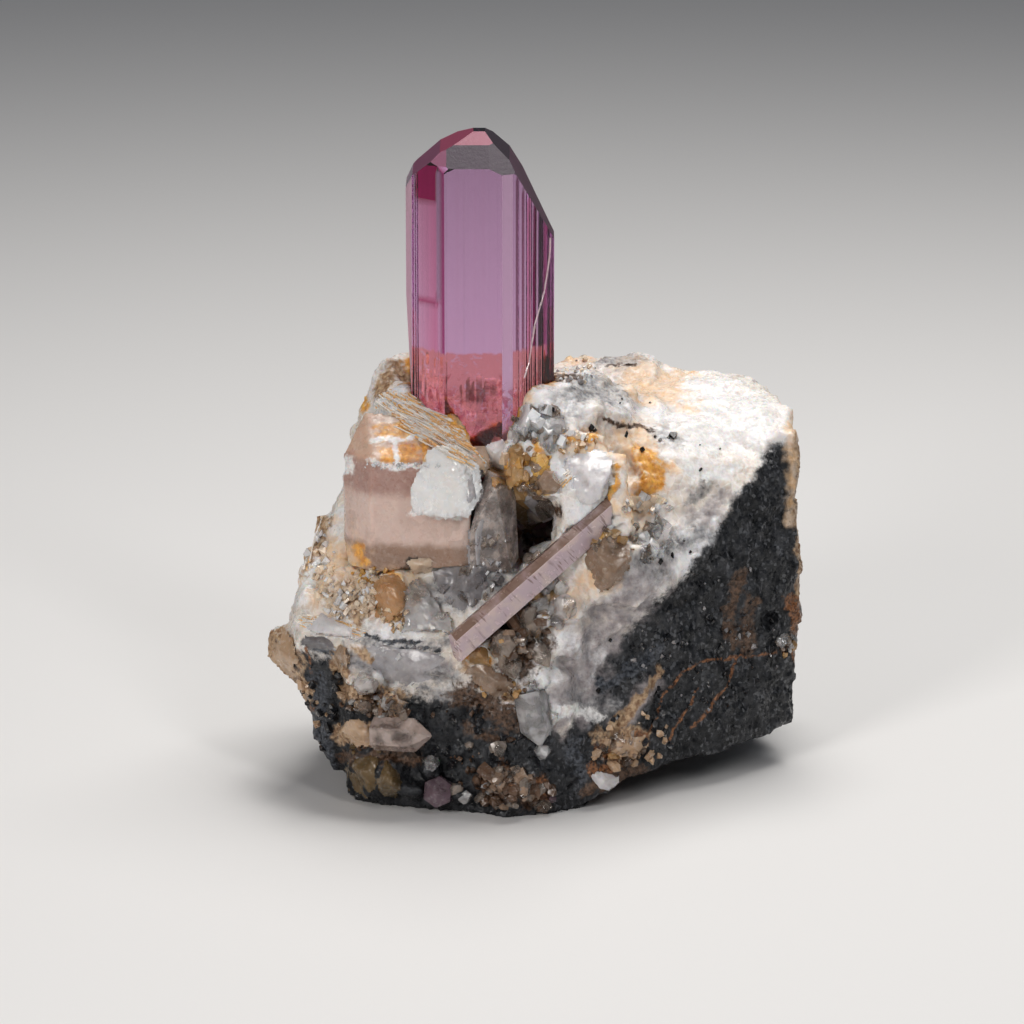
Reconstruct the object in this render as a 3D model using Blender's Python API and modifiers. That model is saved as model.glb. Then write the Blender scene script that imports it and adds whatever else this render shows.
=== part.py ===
"""Pink topaz on matrix: a lone prismatic crystal that stands on a block of calcite and grey limestone.

Axes: +Z up, -Y towards the viewer. The origin is on the base, under the topaz crystal's long axis.
Lengths in the tables are millimetres, and MM turns them into Blender's metres.
"""

import math

import bmesh
import bpy
from mathutils import Matrix, Vector, noise

MM = 0.001

# Driving dimensions, in millimetres
TOPAZ_ROOT_HEIGHT = 25.0
SOCKET_GAP = 0.32
ROCK_VOXEL = 0.55
ROCK_TRIANGLES = 6400

# The rock breaks in flat chips of two sizes: their width, and how far they lean and stand out.
CHIPS = [(5.4, 1.1, 0.5), (2.1, 0.44, 0.2)]
LUMP_ROUGHNESS = 0.5
LUMP_GRAIN = 3.0
# The underside is cut flat by a slab this wide, which reaches this far down.
FLOOR_WIDTH = 120.0
FLOOR_DEPTH = 20.0

# Topaz's cell edges, in angstroms. Its b axis lies along X, a along Y and c along Z.
CELL_A = 4.65
CELL_B = 8.80
CELL_C = 8.40

# The main crystal's faces: Miller indices (h, k, l), then the distance from the crystal's centre.
TOPAZ_CENTRE = (0.0, 0.0, 49.3)
TOPAZ_PRISM = [
    (-1, 0, 0, 5.5),
    (1, 0, 0, 5.4),
    (-1, 1, 0, 5.82),
    (-1, -1, 0, 6.22),
    (1, 1, 0, 6.0),
    (1, -1, 0, 6.2),
    (-1, 2, 0, 5.72),
    (-1, -2, 0, 5.95),
    (1, 2, 0, 5.9),
    (1, -2, 0, 6.05),
    (0, 1, 0, 6.55),
    (0, -22, -1, 6.54),
]
TOPAZ_TIP = [
    (0, 0, 1, 8.1),
    (0, 1, 1, 6.25),
    (0, 2, 1, 5.2),
    (0, -1, 2, 7.5),
    (0, -1, 1, 7.15),
    (0, -2, 1, 7.1),
    (-1, 0, 2, 7.84),
    (-1, 0, 5, 8.1),
    (1, 0, 2, 6.9),
    (1, 0, 5, 7.7),
    (-1, 1, 2, 7.7),
    (-1, -1, 2, 8.3),
    (1, 1, 2, 6.9),
    (1, -1, 2, 7.1),
    (-1, -1, 1, 7.9),
]

# The rock, as the broken blocks it is made of. Each block is the hull of its corners.
ROCK_BLOCKS = {
    "right_block": [
        (10.5, -12.3, 1.8), (14, -10.8, 2.3), (19.5, -7.3, 3.4), (23.5, -4.3, 2.9), (28.1, 1, 3.8),
        (28.4, 0, 12), (28.5, 0, 20), (28.3, 1.5, 27.5), (27.5, 6, 31), (24.4, 12, 32.5),
        (14, -1, 30.8), (19.5, 0, 29.3), (8, -11.8, 12), (10, -10, 22), (16, -8.5, 21),
        (21, -5, 22), (25.3, -1, 27.3), (25, 17, 28.6), (27, 16, 14), (24, 16, 3.4),
        (10, 18.6, 3), (8, 18, 29.6), (18, 14.6, 32.4), (10, 16.6, 32.9), (9, -5, 30.4),
        (10, 4, 32.4),
    ],
    "front_foot": [
        (-8.5, -12.2, -1), (0, -14.2, -1), (2.5, -15.2, -1), (7, -14.5, -1), (9.6, -12.6, -1),
        (8, -13.2, 12), (3, -14.3, 14), (-3, -13.4, 15), (-10.6, -12, 13), (-11.4, -9.8, -1),
        (-11.6, 8, -1), (10, 8, -1), (8, 6, 15), (-12, 6, 15),
    ],
    "left_flank": [
        (-12.6, -8, 1.5), (-14.1, -7, 6), (-15.6, -5, 8), (-16, -7.6, 13.5), (-12.6, -10.6, 14),
        (-14.5, -3, 20), (-12, -3, 25.6), (-15.6, 3, 17), (-14.4, 6, 8), (-11.4, 8, 1),
        (-8, -8, 20), (-8, 6, 27),
    ],
    "left_shelf": [
        (-16.2, -8.3, 14), (-11, -12.4, 13.5), (-4, -13.3, 14), (0, -13, 16.2), (3.2, -10.5, 20),
        (-2, -10, 20.8), (-11, -9, 19.6), (-15.2, -4, 19.6), (-16.6, -4, 15), (-8, 4, 21),
        (-8, 4, 12), (3, 2, 12), (3.2, 2, 21),
    ],
    "left_peak": [
        (-11.8, -2.5, 26), (-11, -2.5, 29.8), (-9.4, -0.5, 32.4), (-8.3, 0.5, 33.7), (-8.8, 3, 36),
        (-7.8, 3, 36.9), (-6.4, 3.5, 37), (-4, 8, 36), (-8.4, 8.6, 32.6), (-11.8, 6, 27),
        (-9, -4, 26), (0, -4, 26), (0, 8, 26),
    ],
    "slanting_ridge": [
        (-9, -0.5, 33.6), (-7.4, 1, 35.2), (-6, -2.5, 34.8), (-3.4, -5.8, 33.6), (-1.6, -6.6, 33.6),
        (0.8, -8.2, 30.2), (0.2, -9.2, 28.6), (-4.5, -7.5, 31), (-8.5, -3.5, 32), (-7, 2, 26),
        (0.5, -4, 26), (-8, -4, 26),
    ],
    "collar": [
        (7, 0, 35.4), (5, -4.3, 35.2), (3, -6.2, 33), (1.7, -7.3, 31), (4, -8.5, 31.2),
        (8, -6, 33), (12.5, -2.5, 32.6), (14, 4, 33.4), (9, 8, 34.4), (6, 4, 35),
        (2, -6, 25), (12, -4, 24), (10, 8, 26), (6.5, 2, 26),
    ],
    "brow": [
        (1.6, -8, 31), (2.5, -7.6, 32.1), (7, -7.6, 32), (11, -6, 31.6), (12, -8.5, 28),
        (8.5, -10.6, 27), (4.5, -10.3, 27), (2.3, -9.5, 28.2), (5, -2, 26), (12, -2, 26),
    ],
    "cleaved_step": [
        (7.2, -10.3, 27.8), (7.6, -8.2, 30.2), (12.8, -7.6, 30.8), (13, -9.6, 28.7), (13.3, -10.6, 24.4),
        (10.2, -11.5, 21.8), (6.6, -10.8, 22.6), (6.4, -5, 23), (13, -5, 23),
    ],
    "centre_fill": [
        (2.6, -13.4, 14.4), (8.6, -12.6, 13.6), (10.6, -11, 20.6), (6.6, -10.4, 22.4), (2.8, -11.2, 19.4),
        (3, -4, 14), (9.5, -4, 22.5), (4, -5, 21),
    ],
    "glassy_lump": [
        (10.4, -11.4, 22.3), (15, -9.9, 23), (15.6, -10.2, 19), (13.5, -11.4, 17.3), (9.6, -12.1, 18.3),
        (12, -6, 20), (12, -6, 18),
    ],
    "round_lump": [
        (14.6, -9.6, 22.6), (17.6, -8, 23), (18.4, -7.8, 20), (16.4, -9.4, 17.6), (14.4, -10.5, 19.3),
        (17, -5, 20),
    ],
    "back_mass": [
        (-12.2, 6, 1), (-13.2, 8, 14), (-11.2, 10, 25), (-6.6, 12.6, 30.4), (0, 15, 32.6),
        (8, 17, 32.7), (9, 18.4, 4), (3, 17.4, -1), (-5, 16, -1), (-10.6, 11.6, -1),
        (-11.6, 12, 15), (0, -3, -1), (16, 8, -1), (15, 14, -1), (0, -3, 27), (9, 4, 32.6),
    ],
    "left_tip": [
        (-18.8, -4, 11.4), (-18.6, -4, 13.5), (-16.8, -3.5, 13.9), (-17.6, -4, 10), (-14.8, -4.5, 7.6),
        (-14.5, -6, 10), (-14.5, -5, 14), (-14, 1, 10), (-16, 1, 12), (-16.8, -5.8, 12),
    ],
    "tan_foot": [
        (8.6, -13.8, 0.8), (10.2, -13.6, 0.6), (12.4, -12, 1.4), (14.4, -10.8, 3), (13, -11.1, 6),
        (9.3, -12.9, 8), (6.6, -13.6, 7), (6, -10, 1), (12, -6, 4),
    ],
    "brown_shoulder": [
        (-12.2, -10.5, 4.8), (-11.8, -11.8, 6.6), (-8, -14.0, 6.4), (-5, -14.6, 6.8), (-4.6, -14.4, 8.4),
        (-8, -13.4, 9.8), (-11.4, -12, 10.2), (-12.2, -10, 9), (-8, -8, 5), (-8, -8, 10),
    ],
    "tan_knob": [
        (-11.7, -11.8, 15), (-10.6, -12.8, 15.2), (-9.6, -13.2, 13.4), (-9.8, -13, 11), (-11.5, -11.9, 11),
        (-10, -9, 13),
    ],
    "back_rim": [
        (6.5, 13, 33.2), (8.6, 17, 34), (13.6, 16.6, 33.4), (18, 14.6, 32.8), (12, 10, 33.2),
        (12, 14, 29),
    ],
}

# Lumps that grow on it: centre and radius.
ROCK_LUMPS = [
    (-14.5, -1.6, 18.2, 1.2), (-13.6, -1.8, 22.4, 1.3), (-14.9, -5.0, 19.0, 1.2), (-14.2, -7.2, 17.4, 1.3),
    (-12.6, -8.8, 18.2, 1.1), (-10.8, -9.6, 18.0, 1.0), (-9.2, -10.4, 18.8, 1.0), (-7.4, -10.8, 18.8, 1.0),
    (-6.0, -11.2, 18.2, 0.9), (-11.1, -12.6, 12.4, 0.9), (-10.8, -12.6, 10.4, 0.9), (-9.9, -11.8, 3.8, 1.5),
    (-7.8, -13.2, 3.2, 1.5), (-6.0, -13.9, 2.0, 1.2), (-9.2, -12.0, 1.4, 1.2), (1.4, -15.3, 3.6, 1.0),
    (3.4, -15.3, 2.2, 1.0), (4.6, -14.9, 4.0, 0.9), (15.6, -4.5, 26.4, 1.1), (14.2, -5.3, 27.2, 0.9),
    (7.8, -2.6, 34.6, 0.9),
    (8.9, 1.4, 34.6, 1.0), (27.0, 2.2, 29.2, 1.0), (27.6, 0.9, 25.6, 0.9), (27.7, 0.6, 22.2, 0.8),
    (-12.2, 9.0, 20.0, 1.6), (-9.2, 12.4, 10.0, 1.8), (-3.0, 15.6, 18.0, 1.6), (4.0, 17.4, 12.0, 1.8),
    (12.0, 17.8, 22.0, 1.7), (20.0, 16.4, 14.0, 1.6), (26.4, 12.0, 22.0, 1.5), (26.8, 8.0, 12.0, 1.6),
    (-14.0, 3.0, 10.0, 1.4), (-6.2, 9.6, 31.8, 1.3), (0.5, 12.0, 32.8, 1.4),
]

# Hollows that are broken out of it, as the hull of their corners.
ROCK_HOLLOWS = {
    "cleft": [
        (3.5, -14, 20.5), (5.0, -14, 20), (3.7, -14, 26.4), (4.9, -14, 26.2), (4.3, -5.5, 25),
        (4.9, -5.5, 21),
    ],
    "plateau_crack": [
        (8.4, -6.5, 33), (10.6, -4.6, 33.5), (13.4, -5.6, 33.5), (17.2, -3.6, 33), (17.2, -3.0, 33),
        (12.8, -4.9, 33.5), (10.4, -3.8, 33.5), (9, -5.8, 29.6), (12.8, -5.3, 29.8), (16.6, -3.4, 28.6),
    ],
    "edge_pit": [
        (24.6, -3.4, 15), (26.6, -2.4, 15), (24.4, -3.4, 12.8), (26.8, -2.4, 12.8), (25.6, -0.2, 13.8),
    ],
}

# Crystals set into the rock, each the hull of its corners.
CALCITE_CRYSTAL = [
    (-11.7, -6.3, 29.9), (-11.7, -6.3, 22.6), (-11.3, -8.2, 20.6), (-9.4, -10.1, 20.4), (-0.7, -10.9, 21.2),
    (-0.6, -10.5, 27.6), (-1.5, -8.4, 30.2), (-9.2, -9.3, 30.4), (-9.9, -3.4, 33.1), (-6.6, -4.2, 33.0),
    (-9, -3, 22), (-1, -5, 22), (-1.5, -5, 29),
]
CLEAR_CALCITE_CRYSTAL = [
    (-4.4, -10.4, 31.6), (-2.3, -9.9, 31.9), (0.2, -9.9, 29.9), (0.6, -10.9, 27.6), (-0.8, -11.9, 25.7),
    (-5.9, -12.0, 26.0), (-5.9, -11.5, 28.3), (-4.6, -11.0, 29.6), (-2, -9.2, 27), (-4, -9.2, 29),
]
SMOKY_CALCITE_CRYSTAL = [
    (0.9, -8.8, 28.9), (2.9, -7.9, 27.7), (3.2, -8.7, 21.6), (2.6, -10.2, 21), (-0.4, -11.4, 21.3),
    (-0.3, -11.5, 25), (1.4, -10.6, 27.8), (1, -5, 22), (2.4, -5, 27),
]
# A long flattened prism that lies aslant across the cleft: its two ends, and its width and thickness.
SMALL_TOPAZ_LOWER = (-2.0, -15.4, 15.2)
SMALL_TOPAZ_UPPER = (11.2, -9.6, 25.6)
SMALL_TOPAZ_WIDTH = 2.6
SMALL_TOPAZ_THICKNESS = 1.5
SMALL_TOPAZ_ROLL = math.radians(22)
SMALL_TOPAZ_SIDE_LEAN = 0.45
SMALL_TOPAZ_END_SLANTS = (-0.35, 0.5)

# Quartz's point: the angle of its faces to its axis, and how much smaller every other face is.
QUARTZ_POINT_ANGLE = math.radians(38)
QUARTZ_SETBACK = 0.12
QUARTZ_TURN = math.radians(11)
# Quartz crystals on the front: centre, radius, length, and the direction of the tip.
QUARTZ = {
    "quartz_crystal_large": ((-6.4, -14.6, 7.2), 1.3, 5.4, (0.93, -0.3, 0.05)),
    "quartz_crystal_lilac": ((-3.6, -15.2, 2.2), 1.2, 2.6, (-0.2, -0.9, 0.25)),
    "quartz_shard": ((4.9, -14.2, 8.4), 1.25, 5.0, (0.2, -0.2, -0.95)),
}
# The smaller ones are one with the rock.
QUARTZ_CRUST = [
    ((-9.3, -13.4, 11.9), 1.0, 2.6, (0.3, -0.9, 0.35)),
    ((-9.9, -13.2, 9.4), 0.6, 2.0, (-0.5, -0.8, 0.2)),
    ((-8.3, -13.8, 9.2), 0.5, 1.8, (0.1, -0.9, 0.4)),
    ((-7.4, -13.8, 10.2), 0.7, 2.2, (0.5, -0.8, 0.4)),
    ((-6.6, -14.2, 9.6), 0.55, 2.0, (0.8, -0.7, 0.0)),
    ((-4.2, -14.6, 4.4), 0.8, 2.4, (0.1, -0.9, 0.3)),
    ((-1.6, -14.9, 1.9), 0.85, 2.2, (0.4, -0.8, 0.2)),
    ((2.7, -15.3, 2.6), 1.1, 2.8, (0.1, -0.8, 0.5)),
    ((1.9, -15.1, 5.6), 0.7, 2.4, (-0.2, -0.9, -0.2)),
    ((5.8, -14.4, 5.8), 0.6, 2.2, (0.3, -0.9, 0.2)),
    ((2.6, -13.2, 15.0), 1.1, 2.8, (0.2, -0.9, 0.35)),
    ((0.6, -13.6, 14.2), 0.8, 2.2, (-0.5, -0.8, 0.2)),
    ((4.6, -13.2, 13.0), 0.8, 2.4, (0.4, -0.9, -0.1)),
    ((8.2, -12.0, 18.0), 1.0, 3.4, (0.3, -0.7, -0.6)),
    ((5.6, -12.6, 16.8), 0.7, 2.6, (0.1, -0.9, 0.2)),
]


def clear_scene():
    for thing in list(bpy.data.objects):
        bpy.data.objects.remove(thing, do_unlink=True)


def collection(name):
    made = bpy.data.collections.new(name)
    bpy.context.scene.collection.children.link(made)
    return made


def material(name, colour, roughness, transmission=0.0, ior=1.5):
    made = bpy.data.materials.new(name)
    made.use_nodes = True
    shader = made.node_tree.nodes["Principled BSDF"]
    shader.inputs["Base Color"].default_value = (*colour, 1.0)
    shader.inputs["Roughness"].default_value = roughness
    shader.inputs["Metallic"].default_value = 0.0
    shader.inputs["Transmission Weight"].default_value = transmission
    shader.inputs["IOR"].default_value = ior
    return made


def object_from(name, mesh_source, group, finish=None):
    """A new object from a bmesh, which is freed, in metres."""
    mesh = bpy.data.meshes.new(name)
    bmesh.ops.scale(mesh_source, vec=(MM, MM, MM), verts=mesh_source.verts)
    mesh_source.to_mesh(mesh)
    mesh_source.free()
    made = bpy.data.objects.new(name, mesh)
    group.objects.link(made)
    if finish:
        mesh.materials.append(finish)
    return made


def evaluated_mesh(thing):
    graph = bpy.context.evaluated_depsgraph_get()
    return bpy.data.meshes.new_from_object(thing.evaluated_get(graph))


def bake(thing):
    """Applies the object's modifiers."""
    mesh = evaluated_mesh(thing)
    thing.modifiers.clear()
    thing.data = mesh


def hull(corners):
    """The convex block that has these corners."""
    block = bmesh.new()
    for corner in corners:
        block.verts.new(corner)
    made = bmesh.ops.convex_hull(block, input=block.verts)
    unused = [v for v in made["geom_interior"] if isinstance(v, bmesh.types.BMVert)]
    bmesh.ops.delete(block, geom=unused, context="VERTS")
    bmesh.ops.dissolve_limit(block, angle_limit=math.radians(1), verts=block.verts, edges=block.edges)
    bmesh.ops.recalc_face_normals(block, faces=block.faces)
    return block


def cut_block(planes, centre, reach):
    """What is left of a cube, reach to each side of centre, inside planes (point, outward normal)."""
    block = bmesh.new()
    bmesh.ops.create_cube(block, size=2 * reach, matrix=Matrix.Translation(centre))
    for point, normal in planes:
        everything = block.verts[:] + block.edges[:] + block.faces[:]
        cut = bmesh.ops.bisect_plane(
            block, geom=everything, plane_co=point, plane_no=normal, clear_outer=True
        )
        rim = [e for e in cut["geom_cut"] if isinstance(e, bmesh.types.BMEdge)]
        if rim:
            bmesh.ops.edgeloop_fill(block, edges=rim)
    bmesh.ops.recalc_face_normals(block, faces=block.faces)
    return block


def swollen(block, gap, reach=40.0):
    """A convex block with every face moved out by gap: the socket that the block sits in."""
    planes = [(face.calc_center_median() + face.normal * gap, face.normal.copy()) for face in block.faces]
    centre = sum((v.co for v in block.verts), Vector()) / len(block.verts)
    return cut_block(planes, centre, reach)


def face_normal(h, k, l):
    """A topaz face's normal, from its Miller indices."""
    return Vector((k / CELL_B, h / CELL_A, l / CELL_C)).normalized()


def topaz_block():
    """The main crystal inside its faces, down to the cleavage that it ends on in the rock."""
    centre = Vector(TOPAZ_CENTRE)
    planes = []
    for h, k, l, distance in TOPAZ_PRISM + TOPAZ_TIP:
        normal = face_normal(h, k, l)
        planes.append((centre + normal * distance, normal))
    planes.append((Vector((0, 0, TOPAZ_ROOT_HEIGHT)), Vector((0, 0, -1))))
    middle = Vector((0, 0, (TOPAZ_ROOT_HEIGHT + centre.z) / 2))
    return cut_block(planes, middle, centre.z - TOPAZ_ROOT_HEIGHT)


def small_topaz_block():
    """A flattened six-sided prism with slanting ends, laid along the line between its two ends."""
    lower, upper = Vector(SMALL_TOPAZ_LOWER), Vector(SMALL_TOPAZ_UPPER)
    middle = (lower + upper) / 2
    along = (upper - lower).normalized()
    towards_viewer = Vector((0, -1, 0))
    edge = Matrix.Rotation(SMALL_TOPAZ_ROLL, 3, along) @ along.cross(towards_viewer).normalized()
    face = edge.cross(along)
    planes = []
    for side in (1, -1):
        planes.append((middle + side * face * SMALL_TOPAZ_THICKNESS / 2, side * face))
        for lean in (SMALL_TOPAZ_SIDE_LEAN, -SMALL_TOPAZ_SIDE_LEAN):
            normal = (side * edge + lean * face).normalized()
            planes.append((middle + side * edge * SMALL_TOPAZ_WIDTH / 2, normal))
    lower_slant, upper_slant = SMALL_TOPAZ_END_SLANTS
    planes.append((lower, (lower_slant * edge - along).normalized()))
    planes.append((upper, (upper_slant * edge + along).normalized()))
    return cut_block(planes, middle, (upper - lower).length)


def quartz_block(centre, radius, length, tip):
    """A short hexagonal prism with a six-faced point."""
    centre, tip = Vector(centre), Vector(tip).normalized()
    side = tip.orthogonal().normalized()
    planes = [(centre - tip * length / 2, -tip)]
    for n in range(6):
        out = Matrix.Rotation(math.tau * n / 6 + QUARTZ_TURN, 3, tip) @ side
        planes.append((centre + out * radius, out))
        point_face = out * math.cos(QUARTZ_POINT_ANGLE) + tip * math.sin(QUARTZ_POINT_ANGLE)
        setback = QUARTZ_SETBACK * radius * (n % 2)
        planes.append((centre + tip * (length / 2 - setback), point_face))
    return cut_block(planes, centre, 2 * length)


def fractured(point):
    """How far a point of the rock stands out from its block, in millimetres."""
    height = 0.0
    for width, lean, step in CHIPS:
        scaled = point / width
        chip = noise.voronoi(scaled)[1][0]
        slope = noise.noise_vector(chip * math.pi)
        height += lean * (scaled - chip).dot(slope) + step * noise.noise(chip * math.tau)
    return height


def add_block(target, block):
    """Copies a block into the target bmesh and frees it."""
    mesh = bpy.data.meshes.new("block")
    block.to_mesh(mesh)
    block.free()
    target.from_mesh(mesh)
    bpy.data.meshes.remove(mesh)


def lump(x, y, z, radius):
    """An angular knob."""
    ball = bmesh.new()
    bmesh.ops.create_icosphere(ball, subdivisions=1, radius=radius)
    centre = Vector((x, y, z))
    corners = []
    for vertex in ball.verts:
        swell = 1 + LUMP_ROUGHNESS * noise.noise(centre + vertex.co * LUMP_GRAIN)
        corners.append(centre + vertex.co * swell)
    ball.free()
    return hull(corners)


def rock_body(group, cutters, finish):
    """The blocks and lumps grown together, broken, cut flat below and crusted with quartz."""
    joined = bmesh.new()
    for corners in ROCK_BLOCKS.values():
        add_block(joined, hull(corners))
    for numbers in ROCK_LUMPS:
        add_block(joined, lump(*numbers))
    rock = object_from("matrix_rock", joined, group, finish)
    weld = rock.modifiers.new("grow together", "REMESH")
    weld.mode = "VOXEL"
    weld.voxel_size = ROCK_VOXEL * MM
    bake(rock)
    outward = [vertex.normal.copy() for vertex in rock.data.vertices]
    for vertex, normal in zip(rock.data.vertices, outward):
        vertex.co += normal * fractured(vertex.co / MM) * MM
    thin = rock.modifiers.new("thin out", "DECIMATE")
    thin.ratio = min(1.0, ROCK_TRIANGLES / sum(len(p.vertices) - 2 for p in rock.data.polygons))
    bake(rock)
    for name, corners in ROCK_HOLLOWS.items():
        cut(rock, helper("hollow_" + name, hull(corners), cutters))
    floor = bmesh.new()
    bmesh.ops.create_cube(floor, size=1)
    bmesh.ops.translate(floor, vec=(0, 0, -0.5), verts=floor.verts)
    bmesh.ops.scale(floor, vec=(FLOOR_WIDTH, FLOOR_WIDTH, FLOOR_DEPTH), verts=floor.verts)
    cut(rock, helper("floor", floor, cutters))
    for numbers in QUARTZ_CRUST:
        cut(rock, helper("crust_crystal", quartz_block(*numbers), cutters), operation="UNION")
    return rock


def keep_largest_piece(thing):
    """Deletes the slivers that a cut has parted from the rest of the object."""
    body = bmesh.new()
    body.from_mesh(thing.data)
    unseen = set(body.verts)
    pieces = []
    while unseen:
        piece = {unseen.pop()}
        edge_of_piece = list(piece)
        while edge_of_piece:
            vertex = edge_of_piece.pop()
            neighbours = {edge.other_vert(vertex) for edge in vertex.link_edges} & unseen
            unseen -= neighbours
            piece |= neighbours
            edge_of_piece += neighbours
        pieces.append(piece)
    largest = max(pieces, key=len)
    slivers = [vertex for piece in pieces if piece is not largest for vertex in piece]
    bmesh.ops.delete(body, geom=slivers, context="VERTS")
    body.to_mesh(thing.data)
    body.free()


def helper(name, block, cutters):
    """A cutter, which isn't part of the object."""
    made = object_from(name, block, cutters)
    made.hide_render = True
    made.display_type = "WIRE"
    return made


def cut(thing, cutter, operation="DIFFERENCE"):
    modifier = thing.modifiers.new(cutter.name, "BOOLEAN")
    modifier.operation = operation
    modifier.solver = "EXACT"
    modifier.object = cutter


def set_in(rocks, name, block, group, cutters, finish):
    """Makes a crystal, and cuts its socket out of what it grows from."""
    socket = helper(name + "_socket", swollen(block, SOCKET_GAP), cutters)
    for rock in rocks:
        cut(rock, socket)
    return object_from(name, block, group, finish)


def main():
    clear_scene()
    group, cutters = collection("topaz_on_matrix"), collection("cutters")
    rock_finish = material("calcite_and_limestone", (0.72, 0.66, 0.60), 0.6)
    topaz_finish = material("pink_topaz", (0.86, 0.50, 0.66), 0.03, transmission=1.0, ior=1.62)
    pale_topaz_finish = material("pale_topaz", (0.80, 0.68, 0.68), 0.08, transmission=0.8, ior=1.62)
    cream_finish = material("cream_calcite", (0.74, 0.60, 0.50), 0.35)
    clear_finish = material("clear_calcite", (0.85, 0.83, 0.80), 0.2, transmission=0.6, ior=1.6)
    smoky_finish = material("smoky_calcite", (0.50, 0.44, 0.40), 0.25, transmission=0.5, ior=1.6)
    quartz_finish = material("quartz", (0.80, 0.74, 0.70), 0.1, transmission=0.8, ior=1.55)

    rock = rock_body(group, cutters, rock_finish)
    cream = set_in([rock], "calcite_crystal", hull(CALCITE_CRYSTAL), group, cutters, cream_finish)
    smoky = set_in(
        [rock, cream], "smoky_calcite_crystal", hull(SMOKY_CALCITE_CRYSTAL), group, cutters, smoky_finish
    )
    calcites = [rock, cream, smoky]
    set_in(calcites, "clear_calcite_crystal", hull(CLEAR_CALCITE_CRYSTAL), group, cutters, clear_finish)
    set_in(calcites, "topaz_crystal", topaz_block(), group, cutters, topaz_finish)
    set_in([rock, smoky], "small_topaz_crystal", small_topaz_block(), group, cutters, pale_topaz_finish)
    for name, numbers in QUARTZ.items():
        set_in([rock], name, quartz_block(*numbers), group, cutters, quartz_finish)
    for thing in calcites:
        bake(thing)
        keep_largest_piece(thing)


main()
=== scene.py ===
import math
import random

import bmesh
import bpy
import numpy as np
from mathutils import Matrix, Vector, noise
from mathutils.bvhtree import BVHTree


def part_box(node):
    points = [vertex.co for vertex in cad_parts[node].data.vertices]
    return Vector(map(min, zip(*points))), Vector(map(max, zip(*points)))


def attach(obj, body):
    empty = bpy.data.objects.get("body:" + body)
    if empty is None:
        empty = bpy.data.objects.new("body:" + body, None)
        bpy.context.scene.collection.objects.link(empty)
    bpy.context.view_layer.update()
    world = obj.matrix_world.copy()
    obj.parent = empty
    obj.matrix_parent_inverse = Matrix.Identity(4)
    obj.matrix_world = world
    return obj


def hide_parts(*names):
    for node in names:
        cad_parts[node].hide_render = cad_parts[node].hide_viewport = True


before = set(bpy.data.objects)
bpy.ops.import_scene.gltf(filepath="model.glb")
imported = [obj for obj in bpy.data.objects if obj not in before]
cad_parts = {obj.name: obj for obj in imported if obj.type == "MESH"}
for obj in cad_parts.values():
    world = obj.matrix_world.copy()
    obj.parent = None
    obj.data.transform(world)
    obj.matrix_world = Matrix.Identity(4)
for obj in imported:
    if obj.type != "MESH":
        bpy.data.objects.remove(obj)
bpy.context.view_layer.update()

MM = 0.001

# The camera: how high it looks from, how far off it is, how much a pixel shows there, how many pixels the
# picture has each way, the point that it looks at, the width of its sensor, and the nearest that it shows.
# Lengths are in millimetres here and below, and places in the picture are in pixels.
ELEVATION = math.radians(15)
DISTANCE = 450.0
PIXEL = 0.088
PICTURE = 1024
TARGET = Vector((2.9, 0.0, 23.13))
SENSOR = 36.0
NEAREST = 10.0

FORWARD = Vector((0, math.cos(ELEVATION), -math.sin(ELEVATION)))
RIGHT = Vector((1, 0, 0))
UP = RIGHT.cross(FORWARD)
EYE = TARGET - FORWARD * DISTANCE

# How fine the meshes of the rock and of the worn crystals are
ROCK_VOXEL = 0.308
BLOCK_VOXEL = 0.2
CHIP_VOXEL = 0.16
# The rock is drawn up to a crystal within reach of it, wholly where it is near, and leaves a gap.
CONTACT_GAP = 0.03
CONTACT_NEAR = 0.5
CONTACT_REACH = 1.3
# The chips of a broken surface: how wide they are, how much they lean, and how high their steps are
CHIPS = [(2.3, 0.5, 0.2), (0.95, 0.24, 0.1), (0.42, 0.1, 0.05)]
# How far out the smoky crystal's faces are moved, so that no dark seam shows beside it
SMOKY_SWELL = 0.25
# The vector noise starts from the time of day unless it is given a seed.
NOISE_SEED = 3


# Meshes

def link(thing):
    bpy.context.scene.collection.objects.link(thing)
    return thing


def object_from(name, body, finish, smooth=False):
    """A new object from a bmesh in millimetres, which is freed."""
    mesh = bpy.data.meshes.new(name)
    bmesh.ops.scale(body, vec=(MM, MM, MM), verts=body.verts)
    body.to_mesh(mesh)
    body.free()
    mesh.materials.append(finish)
    if smooth:
        mesh.shade_smooth()
    return link(bpy.data.objects.new(name, mesh))


def fine_mesh(name, node, voxel):
    """A node's shape as a fine even mesh, and its points and normals, in millimetres."""
    thing = link(bpy.data.objects.new(name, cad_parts[node].data.copy()))
    fine = thing.modifiers.new("fine mesh", "REMESH")
    fine.mode = "VOXEL"
    fine.voxel_size = voxel * MM
    graph = bpy.context.evaluated_depsgraph_get()
    mesh = bpy.data.meshes.new_from_object(thing.evaluated_get(graph))
    thing.modifiers.clear()
    thing.data = mesh
    return thing, [v.co / MM for v in mesh.vertices], [v.normal.copy() for v in mesh.vertices]


def finish_mesh(thing, points, found, finish):
    """Moves the mesh's points, and gives it its painted minerals and its material."""
    mesh = thing.data
    mesh.vertices.foreach_set("co", [c * MM for p in points for c in p])
    for kind, values in found.items():
        if kind not in TEXTURES:
            put(mesh, kind, "FLOAT", "POINT", values.astype(np.float32))
    mesh.materials.clear()
    mesh.materials.append(finish)
    mesh.shade_smooth()


def put(mesh, name, kind, domain, values):
    """Stores values in a new attribute of a mesh."""
    field = "color" if kind == "FLOAT_COLOR" else "value"
    mesh.attributes.new(name, kind, domain).data.foreach_set(field, values)


def dress(thing, slot, *nodes):
    """Every piece rides on the one body, and takes the place of its nodes."""
    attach(thing, "root")
    if nodes:
        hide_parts(*nodes)
    return thing


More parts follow.
